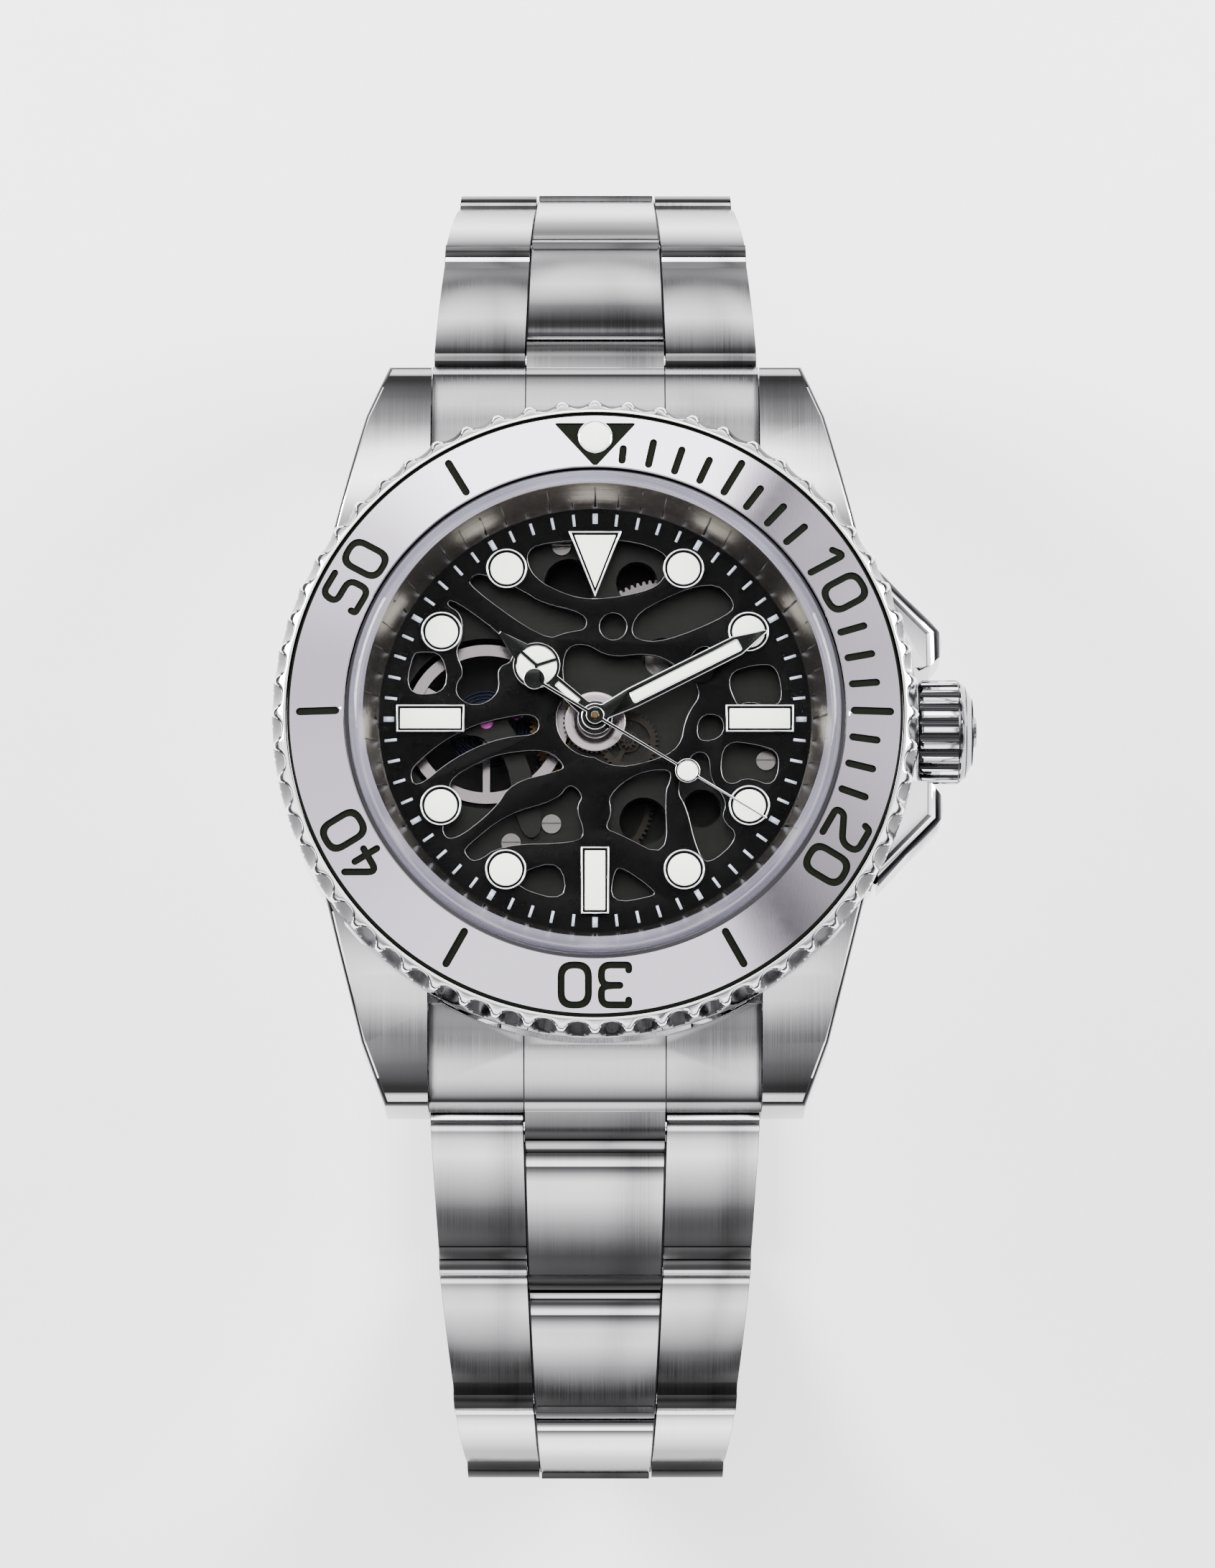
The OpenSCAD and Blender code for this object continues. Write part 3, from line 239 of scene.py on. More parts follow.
def speckled(name, color, roughness, amount=0.05, metallic=0.0, size=9000, rise=0.15, **sockets):
    """Paint, lume, rubber or plastic with fine grain in colour, gloss and height."""
    material, nodes, links, shader = principled(name, color, metallic, roughness, **sockets)
    grain = scaled_noise(nodes, links, (size, size, size), 4)
    tone = ramp(nodes, links, grain.outputs["Fac"], tuple(c * (1 - amount) for c in color),
                tuple(min(1, c * (1 + amount)) for c in color))
    links.new(tone.outputs["Color"], shader.inputs["Base Color"])
    rough = ramp(nodes, links, grain.outputs["Fac"], max(0.0, roughness - 0.05), roughness + 0.05)
    links.new(rough.outputs["Color"], shader.inputs["Roughness"])
    if rise:
        bump(nodes, links, shader, grain.outputs["Fac"], rise, 0.00001)
    return material


def clear_glass(name, color, alpha, gloss=0.5):
    """Thin clear glass: mostly see-through, with a faint bloom."""
    material, nodes, links, shader = principled(name, color, 0.0, 0.02, IOR=1.6, Specular_IOR_Level=gloss)
    smear = scaled_noise(nodes, links, (120, 120, 120), 2)
    veil = ramp(nodes, links, smear.outputs["Fac"], alpha * 0.7, alpha * 1.3)
    links.new(veil.outputs["Color"], shader.inputs["Alpha"])
    return material


# Painted light and shade: bands of light and dark, like those that a polished studio leaves on brushed steel,
# painted into the colour. Distances in mm from the watch's middle line, for the lugs and for the end links
LUG_BANDS = ((0, 0.3), (8.5, 0.015), (10.5, 0.05), (13, 0.25), (16, 0.8), (17.5, 0.9), (19.5, 0.3),
             (21.3, 0.09), (22.5, 0.02), (22.9, 0.02), (23.0, 0.8))
END_BANDS = ((0, 0.5), (17.5, 0.10), (19, 0.22), (21, 0.75), (22, 0.6), (22.9, 0.18), (23.15, 0.03),
             (23.3, 0.03), (23.35, 0.6), (23.6, 0.6), (23.7, 0.2), (24.9, 0.07), (26, 0.02))

# The same painted bands along each link, from its near end to its far one: the 12 o'clock side, then the 6
# o'clock side
OUTER_12 = ((0, 0.02), (0.055, 0.02), (0.06, 0.16), (0.10, 0.12), (0.115, 0.012), (0.16, 0.05), (0.26, 0.3),
            (0.42, 0.75), (0.52, 0.62), (0.74, 0.18), (0.9, 0.07), (0.97, 0.05), (0.975, 0.9), (1, 0.9))
CENTRE_12 = ((0, 0.3), (0.03, 0.3), (0.035, 0.06), (0.06, 0.06), (0.1, 0.16), (0.13, 0.04), (0.17, 0.03),
             (0.3, 0.14), (0.5, 0.75), (0.62, 0.62), (0.82, 0.16), (0.92, 0.07), (0.95, 0.9), (0.985, 0.9),
             (0.99, 0.03), (1, 0.03))
OUTER_6 = ((0, 0.03), (0.07, 0.03), (0.08, 0.95), (0.10, 0.95), (0.11, 0.06), (0.14, 0.08), (0.15, 0.9),
           (0.165, 0.9), (0.18, 0.2), (0.24, 0.6), (0.33, 0.8), (0.5, 0.5), (0.68, 0.17), (0.88, 0.07),
           (0.96, 0.02), (1, 0.015))
CENTRE_6 = ((0, 0.03), (0.03, 0.5), (0.05, 0.5), (0.06, 0.03), (0.1, 0.04), (0.12, 0.25), (0.14, 0.95),
            (0.165, 0.95), (0.17, 0.02), (0.2, 0.12), (0.27, 0.7), (0.38, 0.8), (0.55, 0.35), (0.75, 0.09),
            (0.9, 0.04), (1, 0.015))


def link_steel(name, stops):
    """Brushed steel with the painted bands of light and shade of one kind of link."""
    return brushed(name, (0.88, 0.88, 0.89), 0.22, "X", shade=along_shade(stops))


SATIN = (0.86, 0.86, 0.87)
MAT = {
    "satin": brushed("case_satin_steel_painted_shading", SATIN, 0.24, "X", shade=length_shade(LUG_BANDS)),
    "end_link": brushed("end_link_brushed_steel_painted_shading", SATIN, 0.24, "X", shade=length_shade(END_BANDS)),
    "back": brushed("back_satin_steel", (0.72, 0.72, 0.73), 0.3, "X"),
    "flank": polished("case_polished_steel", (0.42, 0.425, 0.43), 0.08),
    "outer_12": link_steel("outer_link_12_steel_painted_shading", OUTER_12),
    "centre_12": link_steel("centre_link_12_steel_painted_shading", CENTRE_12),
    "outer_6": link_steel("outer_link_6_steel_painted_shading", OUTER_6),
    "centre_6": link_steel("centre_link_6_steel_painted_shading", CENTRE_6),
    # Painted shade: near-black steel inside the bezel's scoops
    "scoop": polished("scoop_painted_shade_steel", (0.05, 0.05, 0.052), 0.16),
    # Dark steel for seams and grooves, and painted shade: lug insides, the guards' turn, lower case bevels,
    # crown flutes, end link sides, link bevels and gaps
    "seam_and_shade": polished("seam_and_painted_shade_steel", (0.03, 0.03, 0.032), 0.2),
    # Painted shade: a darker copy of the polished steel, for the crown's domed end, the crown tube and the
    # lug bars
    "side": polished("side_polished_steel_painted_shade", (0.30, 0.305, 0.31), 0.1),
    "clasp": brushed("clasp_brushed_steel", (0.42, 0.42, 0.43), 0.26, "X"),
    "mirror": polished("mirror_steel", (0.86, 0.87, 0.89), 0.045),
    "insert": polished("insert_mirror", (0.44, 0.415, 0.465), 0.05),
    "engraving": speckled("engraving_paint", (0.004, 0.005, 0.003), 0.6, 0.3, Specular_IOR_Level=0.03),
    "dial": speckled("dial_black_lacquer", (0.0009, 0.001, 0.0009), 0.3, 0.25, size=900, rise=0.0,
                     Specular_IOR_Level=0.04),
    "print": speckled("dial_print", (0.42, 0.46, 0.54), 0.5, 0.04),
    "lume": speckled("lume_cream", (0.90, 0.93, 0.84), 0.62, 0.03, Subsurface_Weight=0.0),
    "rehaut": turned("rehaut_satin", (0.27, 0.25, 0.23), 0.26),
    "tick": turned("rehaut_line_tone", (0.05, 0.047, 0.043), 0.3),
    "plate": brushed("plate_dark_satin", (0.014, 0.0145, 0.0135), 0.4, "Y", depth=0.03),
    "gilt": turned("gilt_brass", (0.10, 0.07, 0.035), 0.25),
    "wheel": turned("wheel_steel", (0.16, 0.155, 0.15), 0.22),
    "shadow_wheel": turned("wheel_dark_steel", (0.022, 0.02, 0.017), 0.3),
    "trim": polished("cut_edge_steel", (0.30, 0.30, 0.31), 0.1),
    "hub": turned("hub_disc_silver", (0.36, 0.32, 0.335), 0.22),
    "hand": polished("hand_dark_polish", (0.010, 0.011, 0.010), 0.12),
    "blue": polished("blued_steel", (0.012, 0.017, 0.04), 0.18),
    "silver": turned("balance_silver", (0.26, 0.24, 0.245), 0.2),
    "ruby": speckled("ruby_stone", (0.30, 0.04, 0.22), 0.08, 0.15, size=3000, rise=0.0),
    "rubber": speckled("seal_rubber", (0.005, 0.005, 0.005), 0.6, 0.2),
    "glass": clear_glass("crystal_clear", (0.002, 0.002, 0.003), 0.02, 0.08),
    # Painted reflection: a lavender, partly opaque veil on the crystal's bevel and edge
    "glass_edge": clear_glass("crystal_edge_painted_reflection", (0.24, 0.23, 0.30), 0.40),
}

# ---------------------------------------------------------------- mesh helpers


def add_piece(name, bm, materials, body, replaced=(), smooth_angle=30):
    """Turns a bmesh into a piece that rides on a body and stands for CAD nodes."""
    mesh = bpy.data.meshes.new(name)
    bmesh.ops.recalc_face_normals(bm, faces=bm.faces)
    bm.to_mesh(mesh)
    bm.free()
    piece = bpy.data.objects.new(name, mesh)
    bpy.context.scene.collection.objects.link(piece)
    for material in materials:
        mesh.materials.append(material)
    smooth_by_angle(mesh, smooth_angle)
    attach(piece, body)
    if replaced:
        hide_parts(*replaced)
    return piece


def smooth_by_angle(mesh, degrees):
    """Shades a mesh smooth, except across edges that turn by more than an angle."""
    limit = math.cos(math.radians(degrees))
    mesh.polygons.foreach_set("use_smooth", [True] * len(mesh.polygons))
    faces_of = {}
    for poly in mesh.polygons:
        for key in poly.edge_keys:
            faces_of.setdefault(key, []).append(poly.normal)
    for edge in mesh.edges:
        normals = faces_of.get(edge.key, ())
        edge.use_edge_sharp = len(normals) == 2 and normals[0].dot(normals[1]) < limit


def bake_modifiers(piece):
    """Replaces a piece's mesh by what its modifiers make of it."""
    depsgraph = bpy.context.evaluated_depsgraph_get()
    made = bpy.data.meshes.new_from_object(piece.evaluated_get(depsgraph))
    piece.modifiers.clear()
    piece.data = made


def cutter_object(bm, name, materials):
    """A cutter for cut_out(), whose materials line the cuts."""
    mesh = bpy.data.meshes.new(name)
    bmesh.ops.recalc_face_normals(bm, faces=bm.faces)
    bmesh.ops.triangulate(bm, faces=bm.faces[:])
    bm.to_mesh(mesh)
    bm.free()
    obj = bpy.data.objects.new(name, mesh)
    bpy.context.scene.collection.objects.link(obj)
    for material in materials:
        mesh.materials.append(material)
    return obj


def cut_out(piece, cutter):
    """Takes a cutter's shape out of a piece, worked at millimetre scale, and removes the cutter."""
    for obj in (piece, cutter):
        obj.data.transform(Matrix.Scale(1 / MM, 4))
    mod = piece.modifiers.new("Cut", "BOOLEAN")
    mod.operation = "DIFFERENCE"
    mod.solver = "EXACT"
    mod.use_self = True
    mod.object = cutter
    bpy.context.view_layer.update()
    bake_modifiers(piece)
    bpy.data.objects.remove(cutter)
    piece.data.transform(Matrix.Scale(MM, 4))


def bevelled(piece, width, segments, angle, index, weighted=False, miter="MITER_SHARP"):
    """Rounds a piece's sharp edges, or its weighted ones, by a width in mm."""
    mod = piece.modifiers.new("Bevel", "BEVEL")
    mod.width = width * MM
    mod.segments = segments
    mod.limit_method = "WEIGHT" if weighted else "ANGLE"
    mod.angle_limit = math.radians(angle)
    mod.material = index
    mod.use_clamp_overlap = not weighted
    mod.miter_outer = miter
    bpy.context.view_layer.update()
    bake_modifiers(piece)


def refined(node, bevel, materials, edge_index=0, segments=2, angle=32, pick=None, weigh=None,
            edge_pick=None, cutters=()):
    """A finer piece in place of a CAD node: welded, cleaned to whole faces and bevelled along sharp edges.

    pick and edge_pick choose a face's material, off the bevels and on them, from its centre and normal.
    weigh marks the edges to bevel, and cutters are taken out of the piece.
    """
    bm = bmesh.new()
    bm.from_mesh(NODES[node].data)
    bmesh.ops.remove_doubles(bm, verts=bm.verts, dist=2e-6)
    bmesh.ops.dissolve_limit(bm, angle_limit=math.radians(0.6), verts=bm.verts, edges=bm.edges)
    for face in bm.faces:
        face.material_index = 0
    if weigh:
        weigh(bm)
    mesh = bpy.data.meshes.new(node + "_fine")
    bm.to_mesh(mesh)
    bm.free()
    piece = bpy.data.objects.new(node + "_fine", mesh)
    bpy.context.scene.collection.objects.link(piece)
    for material in materials:
        mesh.materials.append(material)
    bevelled(piece, bevel, segments, angle, edge_index, bool(weigh), "MITER_ARC")
    for poly in piece.data.polygons:
        if pick and poly.material_index == 0:
            poly.material_index = pick(poly.center, poly.normal)
        elif edge_pick:
            poly.material_index = edge_pick(poly.center, poly.normal)
    for cutter in cutters:
        cut_out(piece, cutter)
    smooth_by_angle(piece.data, 28)
    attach(piece, BODY_OF[node])
    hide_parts(node)
    return piece


# ---------------------------------------------------------------- shapes


def clock(point, degrees, z=0.0):
    """A point of the dial's plane, in mm and drawn at 12 o'clock, turned clockwise by some degrees."""
    a = math.radians(degrees)
    x, y = point
    right, up = x * math.cos(a) + y * math.sin(a), y * math.cos(a) - x * math.sin(a)
    return Vector((right * MM, up * MM, z * MM))


def wall(bm, first, second, material=0):
    """Quads between two closed rings of vertices."""
    for i in range(len(first)):
        k = (i + 1) % len(first)
        bm.faces.new((first[i], first[k], second[k], second[i])).material_index = material


def tube(bm, rings, material=0):
    """Walls from each ring of vertices to the next, and from the last to the first."""
    for k, ring in enumerate(rings):
        wall(bm, ring, rings[(k + 1) % len(rings)], material)


def slab(bm, first, second, material=0, ends=0):
    """A solid between two closed rings of vertices."""
    for end in (first, list(reversed(second))):
        bm.faces.new(end).material_index = ends
    wall(bm, second, first, material)


def revolve(bm, profile, steps, radius=None, material=0, centre=(0, 0)):
    """Turns a closed (r, z) profile in mm around Z; radius(r, z, angle) may change each point's radius."""
    rings = []
    for i in range(steps):
        a = math.tau * i / steps
        ring = []
        for r, z in profile:
            out = radius(r, z, a) if radius else r
            x, y = centre[0] + out * math.cos(a), centre[1] + out * math.sin(a)
            ring.append(bm.verts.new((x * MM, y * MM, z * MM)))
        rings.append(ring)
    n = len(profile)
    for i in range(steps):
        here, there = rings[i], rings[(i + 1) % steps]
        for k in range(n):
            face = bm.faces.new((here[k], there[k], there[(k + 1) % n], here[(k + 1) % n]))
            face.material_index = material if isinstance(material, int) else material[k]


def prism(bm, outline, low, high, degrees=0.0, material=0, lift=None):
    """A solid with a flat outline in mm, from one height to another; lift(x, y) adds to both heights."""
    def up(p):
        return lift(*p) if lift else 0.0

    bottom = [bm.verts.new(clock(p, degrees, low + up(p))) for p in outline]
    top = [bm.verts.new(clock(p, degrees, high + up(p))) for p in outline]
    bm.faces.new(list(reversed(bottom))).material_index = material
    bm.faces.new(top).material_index = material
    wall(bm, bottom, top, material)


def disc_outline(r, centre=(0, 0), steps=48):
    """The outline of a disc."""
    return [(centre[0] + r * math.cos(math.tau * i / steps), centre[1] + r * math.sin(math.tau * i / steps))
            for i in range(steps)]


def bend(a, corner, b, t):
    """A point at share t of the curve from a to b that a corner pulls towards itself."""
    return a * (1 - t) ** 2 + corner * 2 * t * (1 - t) + b * t * t


def rounded(points, radius, steps=5):
    """A closed outline with its corners rounded."""
    out = []
    n = len(points)
    for i in range(n):
        here = Vector(points[i])
        back, ahead = Vector(points[i - 1]) - here, Vector(points[(i + 1) % n]) - here
        reach = min(radius, back.length * 0.45, ahead.length * 0.45)
        a, b = here + back.normalized() * reach, here + ahead.normalized() * reach
        for k in range(steps + 1):
            out.append(tuple(bend(a, here, b, k / steps)))
    return out


def stroke(path, width, corner=0.0, cap=6):
    """The outline of a pen stroke of constant width along an open path, with round ends and corners."""
    if corner:
        fine = [Vector(path[0])]
        for i in range(1, len(path) - 1):
            here = Vector(path[i])
            back, ahead = Vector(path[i - 1]) - here, Vector(path[i + 1]) - here
            reach = min(corner, back.length * 0.48, ahead.length * 0.48)
            a, b = here + back.normalized() * reach, here + ahead.normalized() * reach
            fine += [bend(a, here, b, t) for t in (0, 0.2, 0.4, 0.6, 0.8, 1)]
        fine.append(Vector(path[-1]))
    else:
        fine = [Vector(p) for p in path]
    left, right = [], []
    for i, p in enumerate(fine):
        d = (fine[min(i + 1, len(fine) - 1)] - fine[max(i - 1, 0)]).normalized()
        side = Vector((-d.y, d.x)) * width / 2
        left.append(p + side)
        right.append(p - side)

    def end(centre, start):
        arm = start - centre
        return [centre + Matrix.Rotation(-math.pi * k / cap, 2) @ arm for k in range(1, cap)]

    out = left + end(fine[-1], left[-1]) + list(reversed(right)) + end(fine[0], right[0])
    return [tuple(p) for p in out]


# ---------------------------------------------------------------- bezel and its insert

BEZEL_R = 19.998
INSERT_IN, INSERT_OUT = 15.45, 19.0
INSERT_TOP_IN, INSERT_TOP_OUT = BEZEL_Z + 3.1, BEZEL_Z + 2.58
# The grip: how many scoops, their radius, how far past the rim their middle is, and its lean per mm down
SCALLOPS = 60
SCALLOP_R = 1.0
SCOOP_OUT = 0.33
SCOOP_LEAN = 0.38
# Inside this radius the bezel is round
GRIP_IN = 19.25


def scallop(angle, z):
    """How far out the grip reaches at an angle: round scoops that run outwards towards the bottom."""
    pitch = math.tau / SCALLOPS
    off = ((angle / pitch) % 1 - 0.5) * pitch
    depth = max(0.0, BEZEL_Z + 2.5 - z)
    centre = BEZEL_R + SCOOP_OUT + SCOOP_LEAN * depth
    x = BEZEL_R * math.sin(off)
    if abs(x) >= SCALLOP_R:
        return BEZEL_R + 1
    return centre - math.sqrt(SCALLOP_R ** 2 - x * x)


def build_bezel():
    """The toothed ring, with darker steel painted inside its scoops as their shade."""
    z = BEZEL_Z
    profile = [(16.35, z), (19.5, z), (19.85, z + 0.15), (BEZEL_R, z + 0.4), (BEZEL_R, z + 0.8),
               (BEZEL_R, z + 1.2), (BEZEL_R, z + 1.6), (BEZEL_R, z + 1.95), (BEZEL_R - 0.07, z + 2.16),
               (BEZEL_R - 0.25, z + 2.34), (BEZEL_R - 0.5, z + 2.48), (BEZEL_R - 0.7, z + 2.56),
               (INSERT_OUT + 0.2, z + 2.6), (INSERT_OUT + 0.09, z + 2.6), (INSERT_OUT + 0.05, z + 2.54),
               (INSERT_OUT + 0.05, z + 1.55), (INSERT_IN, z + 1.55), (INSERT_IN, z + 1.35), (16.35, z + 1.35)]

    def radius(r, height, angle):
        """The profile's radius, cut by the scoops with softened rims."""
        if r < GRIP_IN:
            return r
        scoop = scallop(angle, height)
        soft = 0.05
        low, gap = min(r, scoop), abs(r - scoop)
        return max(GRIP_IN - 0.03, low - soft * math.exp(-gap / soft) * 0.7)

    bm = bmesh.new()
    revolve(bm, profile, SCALLOPS * 22, radius)
    # Painted shade: faces inside the scoops, below the top, take the dark steel
    for face in bm.faces:
        middle = face.calc_center_median() / MM
        reach = math.hypot(middle.x, middle.y)
        angle = math.atan2(middle.x, middle.y)
        share = angle * SCALLOPS / math.tau % 1
        in_scoop = reach > scallop(angle, middle.z) - 0.04 and 0.06 < share < 0.94
        if reach > GRIP_IN and in_scoop and middle.z < z + 2.45:
            face.material_index = 1
    add_piece("bezel_ring", bm, [MAT["mirror"], MAT["scoop"]], BODY_OF["bezel"],
              ["bezel"], 40)


def insert_height(x, y):
    """Height of the insert's sloping face."""
    r = math.hypot(x, y)
    return INSERT_TOP_IN + (INSERT_TOP_OUT - INSERT_TOP_IN) * (r - INSERT_IN) / (INSERT_OUT - INSERT_IN)


DIGIT_W, DIGIT_H, STROKE = 1.67, 2.42, 0.43
DIGIT_AT = 17.12
# Half the distance between the middles of a number's two digits
DIGIT_STEP = 1.23
# Where the minute ticks start, and how far a short, a first and a long one reach
TICK_IN, TICK_FIRST, TICK_SHORT, TICK_LONG = 15.95, 16.75, 17.45, 18.2


def digit_strokes(digit):
    """Centre lines of a digit, in a box of DIGIT_W by DIGIT_H about its middle."""
    w, h = DIGIT_W / 2, DIGIT_H / 2
    return {
        "1": [[(-0.62 + 0.35, h - 0.5), (0.35, h), (0.35, -h)]],
        "2": [[(-w, h - 0.35), (-w + 0.1, h), (w, h), (w, 0.15), (-w, -h + 0.55), (-w, -h), (w, -h)]],
        "3": [[(-w, h - 0.3), (-w, h), (w, h), (w, 0.1), (0.0, 0.02)],
              [(-0.3, 0.02), (w, 0.02), (w, -h), (-w, -h), (-w, -h + 0.3)]],
        "4": [[(0.2, h), (-w, -0.5), (w, -0.5)], [(0.42, 0.35), (0.42, -h)]],
        "5": [[(w - 0.05, h), (-w + 0.12, h), (-w, 0.2), (w, 0.2), (w, -h), (-w, -h), (-w, -h + 0.3)]],
        "0": [],
    }[digit]


def zero_outlines():
    """The outer and inner outlines of the digit 0."""
    w, h, half = DIGIT_W / 2, DIGIT_H / 2, STROKE / 2
    outer = [(-w - half, -h - half), (w + half, -h - half), (w + half, h + half), (-w - half, h + half)]
    inner = [(-w + half, -h + half), (w - half, -h + half), (w - half, h - half), (-w + half, h - half)]
    return rounded(outer, 0.95, 8), rounded(inner, 0.55, 8)


def engraving_cutters():
    """Three cutters for the insert: ticks and first strokes, second strokes, and the zeros' rings."""
    first, second, zeros = bmesh.new(), bmesh.new(), bmesh.new()
    deep, over = -0.13, 0.3

    def cut(bm, outline, degrees, shift=0.0, middle=0.0):
        points = [(x + shift, y + middle) for x, y in outline]
        prism(bm, points, deep, over, degrees, 1, insert_height)

    def cut_ring(outer, inner, degrees, shift, middle):
        rings = []
        for outline, height in ((outer, deep), (outer, over), (inner, over), (inner, deep)):
            points = [(x + shift, y + middle) for x, y in outline]
            rings.append([zeros.verts.new(clock(p, degrees, height + insert_height(*p))) for p in points])
        tube(zeros, rings, 1)

    for minute in range(1, 60):
        if minute % 10 == 5:
            cut(first, stroke([(0, TICK_IN + 0.03), (0, TICK_LONG)], 0.48), minute * 6)
        elif minute < 19 and minute not in (9, 10, 11):
            top = TICK_FIRST if minute == 1 else TICK_SHORT
            cut(first, stroke([(0, TICK_IN), (0, top)], 0.46), minute * 6)
    for number in range(10, 60, 10):
        for digit, shift in ((str(number)[0], -DIGIT_STEP), ("0", DIGIT_STEP)):
            for bm, path in zip((first, second), digit_strokes(digit)):
                cut(bm, stroke(path, STROKE, 0.55), number * 6, shift, DIGIT_AT)
            if digit == "0":
                cut_ring(*zero_outlines(), number * 6, shift, DIGIT_AT)
    triangle = rounded([(-2.55, 18.35), (0, 15.0), (2.55, 18.35)], 0.2)
    cut(second, [(x, max(y, 15.55)) for x, y in triangle], 0)
    return first, second, zeros


PIP_AT, PIP_R, PIP_LUME_R = 17.4, 1.08, 0.96


def build_insert():
    """The mirror-finished insert with its cut and painted scale, and the pip at 12."""
    low = BEZEL_Z + 1.56
    # The slope ends this share of the way in, where a small lip turns down
    lip = 0.98
    profile = [(INSERT_IN, low), (INSERT_OUT, low), (INSERT_OUT, INSERT_TOP_OUT - 0.22),
               (INSERT_OUT - 0.17, INSERT_TOP_OUT + 0.02),
               (INSERT_OUT + (INSERT_IN - INSERT_OUT) * lip,
                INSERT_TOP_OUT + (INSERT_TOP_IN - INSERT_TOP_OUT) * lip),
               (INSERT_IN, INSERT_TOP_IN - 0.07)]
    bm = bmesh.new()
    revolve(bm, profile, 480, material=[0, 1, 1, 0, 0, 0])
    piece = add_piece("engraved_insert", bm, [MAT["insert"], MAT["engraving"]], BODY_OF["bezel_insert"],
                      ["bezel_insert"], 25)
    for i, cutter_bm in enumerate(engraving_cutters()):
        cut_out(piece, cutter_object(cutter_bm, f"cutter_{i}", (MAT["insert"], MAT["engraving"])))
    smooth_by_angle(piece.data, 20)
    z = insert_height(0, PIP_AT)
    bm = bmesh.new()
    revolve(bm, [(0.001, z - 0.4), (PIP_R, z - 0.4), (PIP_R, z + 0.02), (PIP_R - 0.06, z + 0.08)], 64,
            centre=(0, PIP_AT))
    add_piece("pip_capsule", bm, [MAT["mirror"]], BODY_OF["bezel_pip"], [], 40)
    dome = [(PIP_LUME_R, z - 0.3), (PIP_LUME_R, z + 0.06)]
    dome += [(PIP_LUME_R * math.cos(a), z + 0.06 + 0.16 * math.sin(a)) for a in (0.3, 0.6, 0.9, 1.2)]
    dome += [(0.001, z + 0.22), (0.001, z - 0.3)]
    bm = bmesh.new()
    revolve(bm, dome, 64, centre=(0, PIP_AT))
    add_piece("pip_lume", bm, [MAT["lume"]], BODY_OF["bezel_pip"], ["bezel_pip"], 60)


# ---------------------------------------------------------------- dial, markers, crystal


def marker_outline(hour, inset):
    """A marker's outline drawn at 12 o'clock, shrunk by an inset: a triangle, a bar or a disc."""
    if hour == 0:
        half, top = 1.65 - 1.55 * inset, 11.9 - inset
        return [(-half, top), (half, top), (0, 7.7 + 2.6 * inset)]
    if hour in (3, 6, 9):
        half, low, high = 0.86 - inset, 8.1 + inset, 12.3 - inset
        return [(-half, low), (half, low), (half, high), (-half, high)]
    return disc_outline(1.26 - inset, (0, 11.0))


def build_dial():
    """The open-worked dial with its minute track, and the markers with their dark rims and lume."""
    refined("dial", 0.045, [MAT["dial"], MAT["trim"]], 1, 2, 40)
    bm = bmesh.new()
    top = DIAL_TOP / MM
    for minute in range(60):
        half, low = (0.16, 12.45) if minute % 5 == 0 else (0.085, 12.35)
        outline = [(-half, low), (half, low), (half, 13.1), (-half, 13.1)]
        prism(bm, outline, top - 0.01, top + 0.012, minute * 6)
    add_piece("minute_track", bm, [MAT["print"]], BODY_OF["dial"])
    refined("hour_markers", 0.03, [MAT["mirror"]], 0, 2)
    wells, lumes = bmesh.new(), bmesh.new()
    for hour in range(12):
        lume_inset = 0.23 if hour % 3 == 0 else 0.25
        prism(wells, marker_outline(hour, 0.09), top - 0.01, top + 0.24, hour * 30)
        prism(lumes, marker_outline(hour, lume_inset), top - 0.01, top + 0.33, hour * 30)
    add_piece("marker_wells", wells, [MAT["dial"]], BODY_OF["hour_markers"])
    piece = add_piece("marker_lumes", lumes, [MAT["lume"]], BODY_OF["marker_lume"], ["marker_lume"])
    bevelled(piece, 0.05, 2, 40, -1)
    smooth_by_angle(piece.data, 28)


def build_rehaut():
    """Fine minute lines engraved dark round the sloping ring."""
    low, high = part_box("rehaut")
    base, rise = low.z / MM, (high.z - low.z) / MM
    bm = bmesh.new()
    for minute in range(60):
        half = 0.07 if minute % 5 == 0 else 0.035
        outline = [(-half, 13.5), (half, 13.5), (half, 14.4), (-half, 14.4)]
        prism(bm, outline, -0.02, 0.012, minute * 6,
              lift=lambda x, y: base + rise * (math.hypot(x, y) - 13.4) / 1.2)
    add_piece("rehaut_lines", bm, [MAT["tick"]], BODY_OF["rehaut"])


def build_crystal():
    """The flat crystal: a clear disc whose edge and bevel carry a lavender veil, a painted reflection of the
    light they catch.
    """
    low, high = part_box("crystal")
    top, bottom = high.z / MM, low.z / MM
    face = 14.62
    profile = [(0.001, top), (face - 0.35, top), (face, top - 0.03), (15.02, top - 0.22), (15.17, top - 0.5),
               (15.2, bottom), (14.78, bottom), (14.78, top - 1.5), (14.7, top - 1.42), (0.001, top - 1.4)]
    bm = bmesh.new()
    revolve(bm, profile, 240, material=[0, 1, 1, 1, 1, 1, 1, 1, 0, 0])
    add_piece("crystal_disc", bm, [MAT["glass"], MAT["glass_edge"]], BODY_OF["crystal"],
              ["crystal"], 50)


# ---------------------------------------------------------------- case and crown

CROWN_Z = 4.75 * MM
# The crown's turns seen from its side, as (distance from the dial's centre, radius) in mm, dome first
CROWN_TURNS = ((22.62, 3.2), (23.06, 2.86), (23.5, 2.08))
FLUTE_R = 3.16
# The crown guards are all the case beyond this X and within this Y
GUARD_X, GUARD_Y = 18.6 * MM, 10.8 * MM
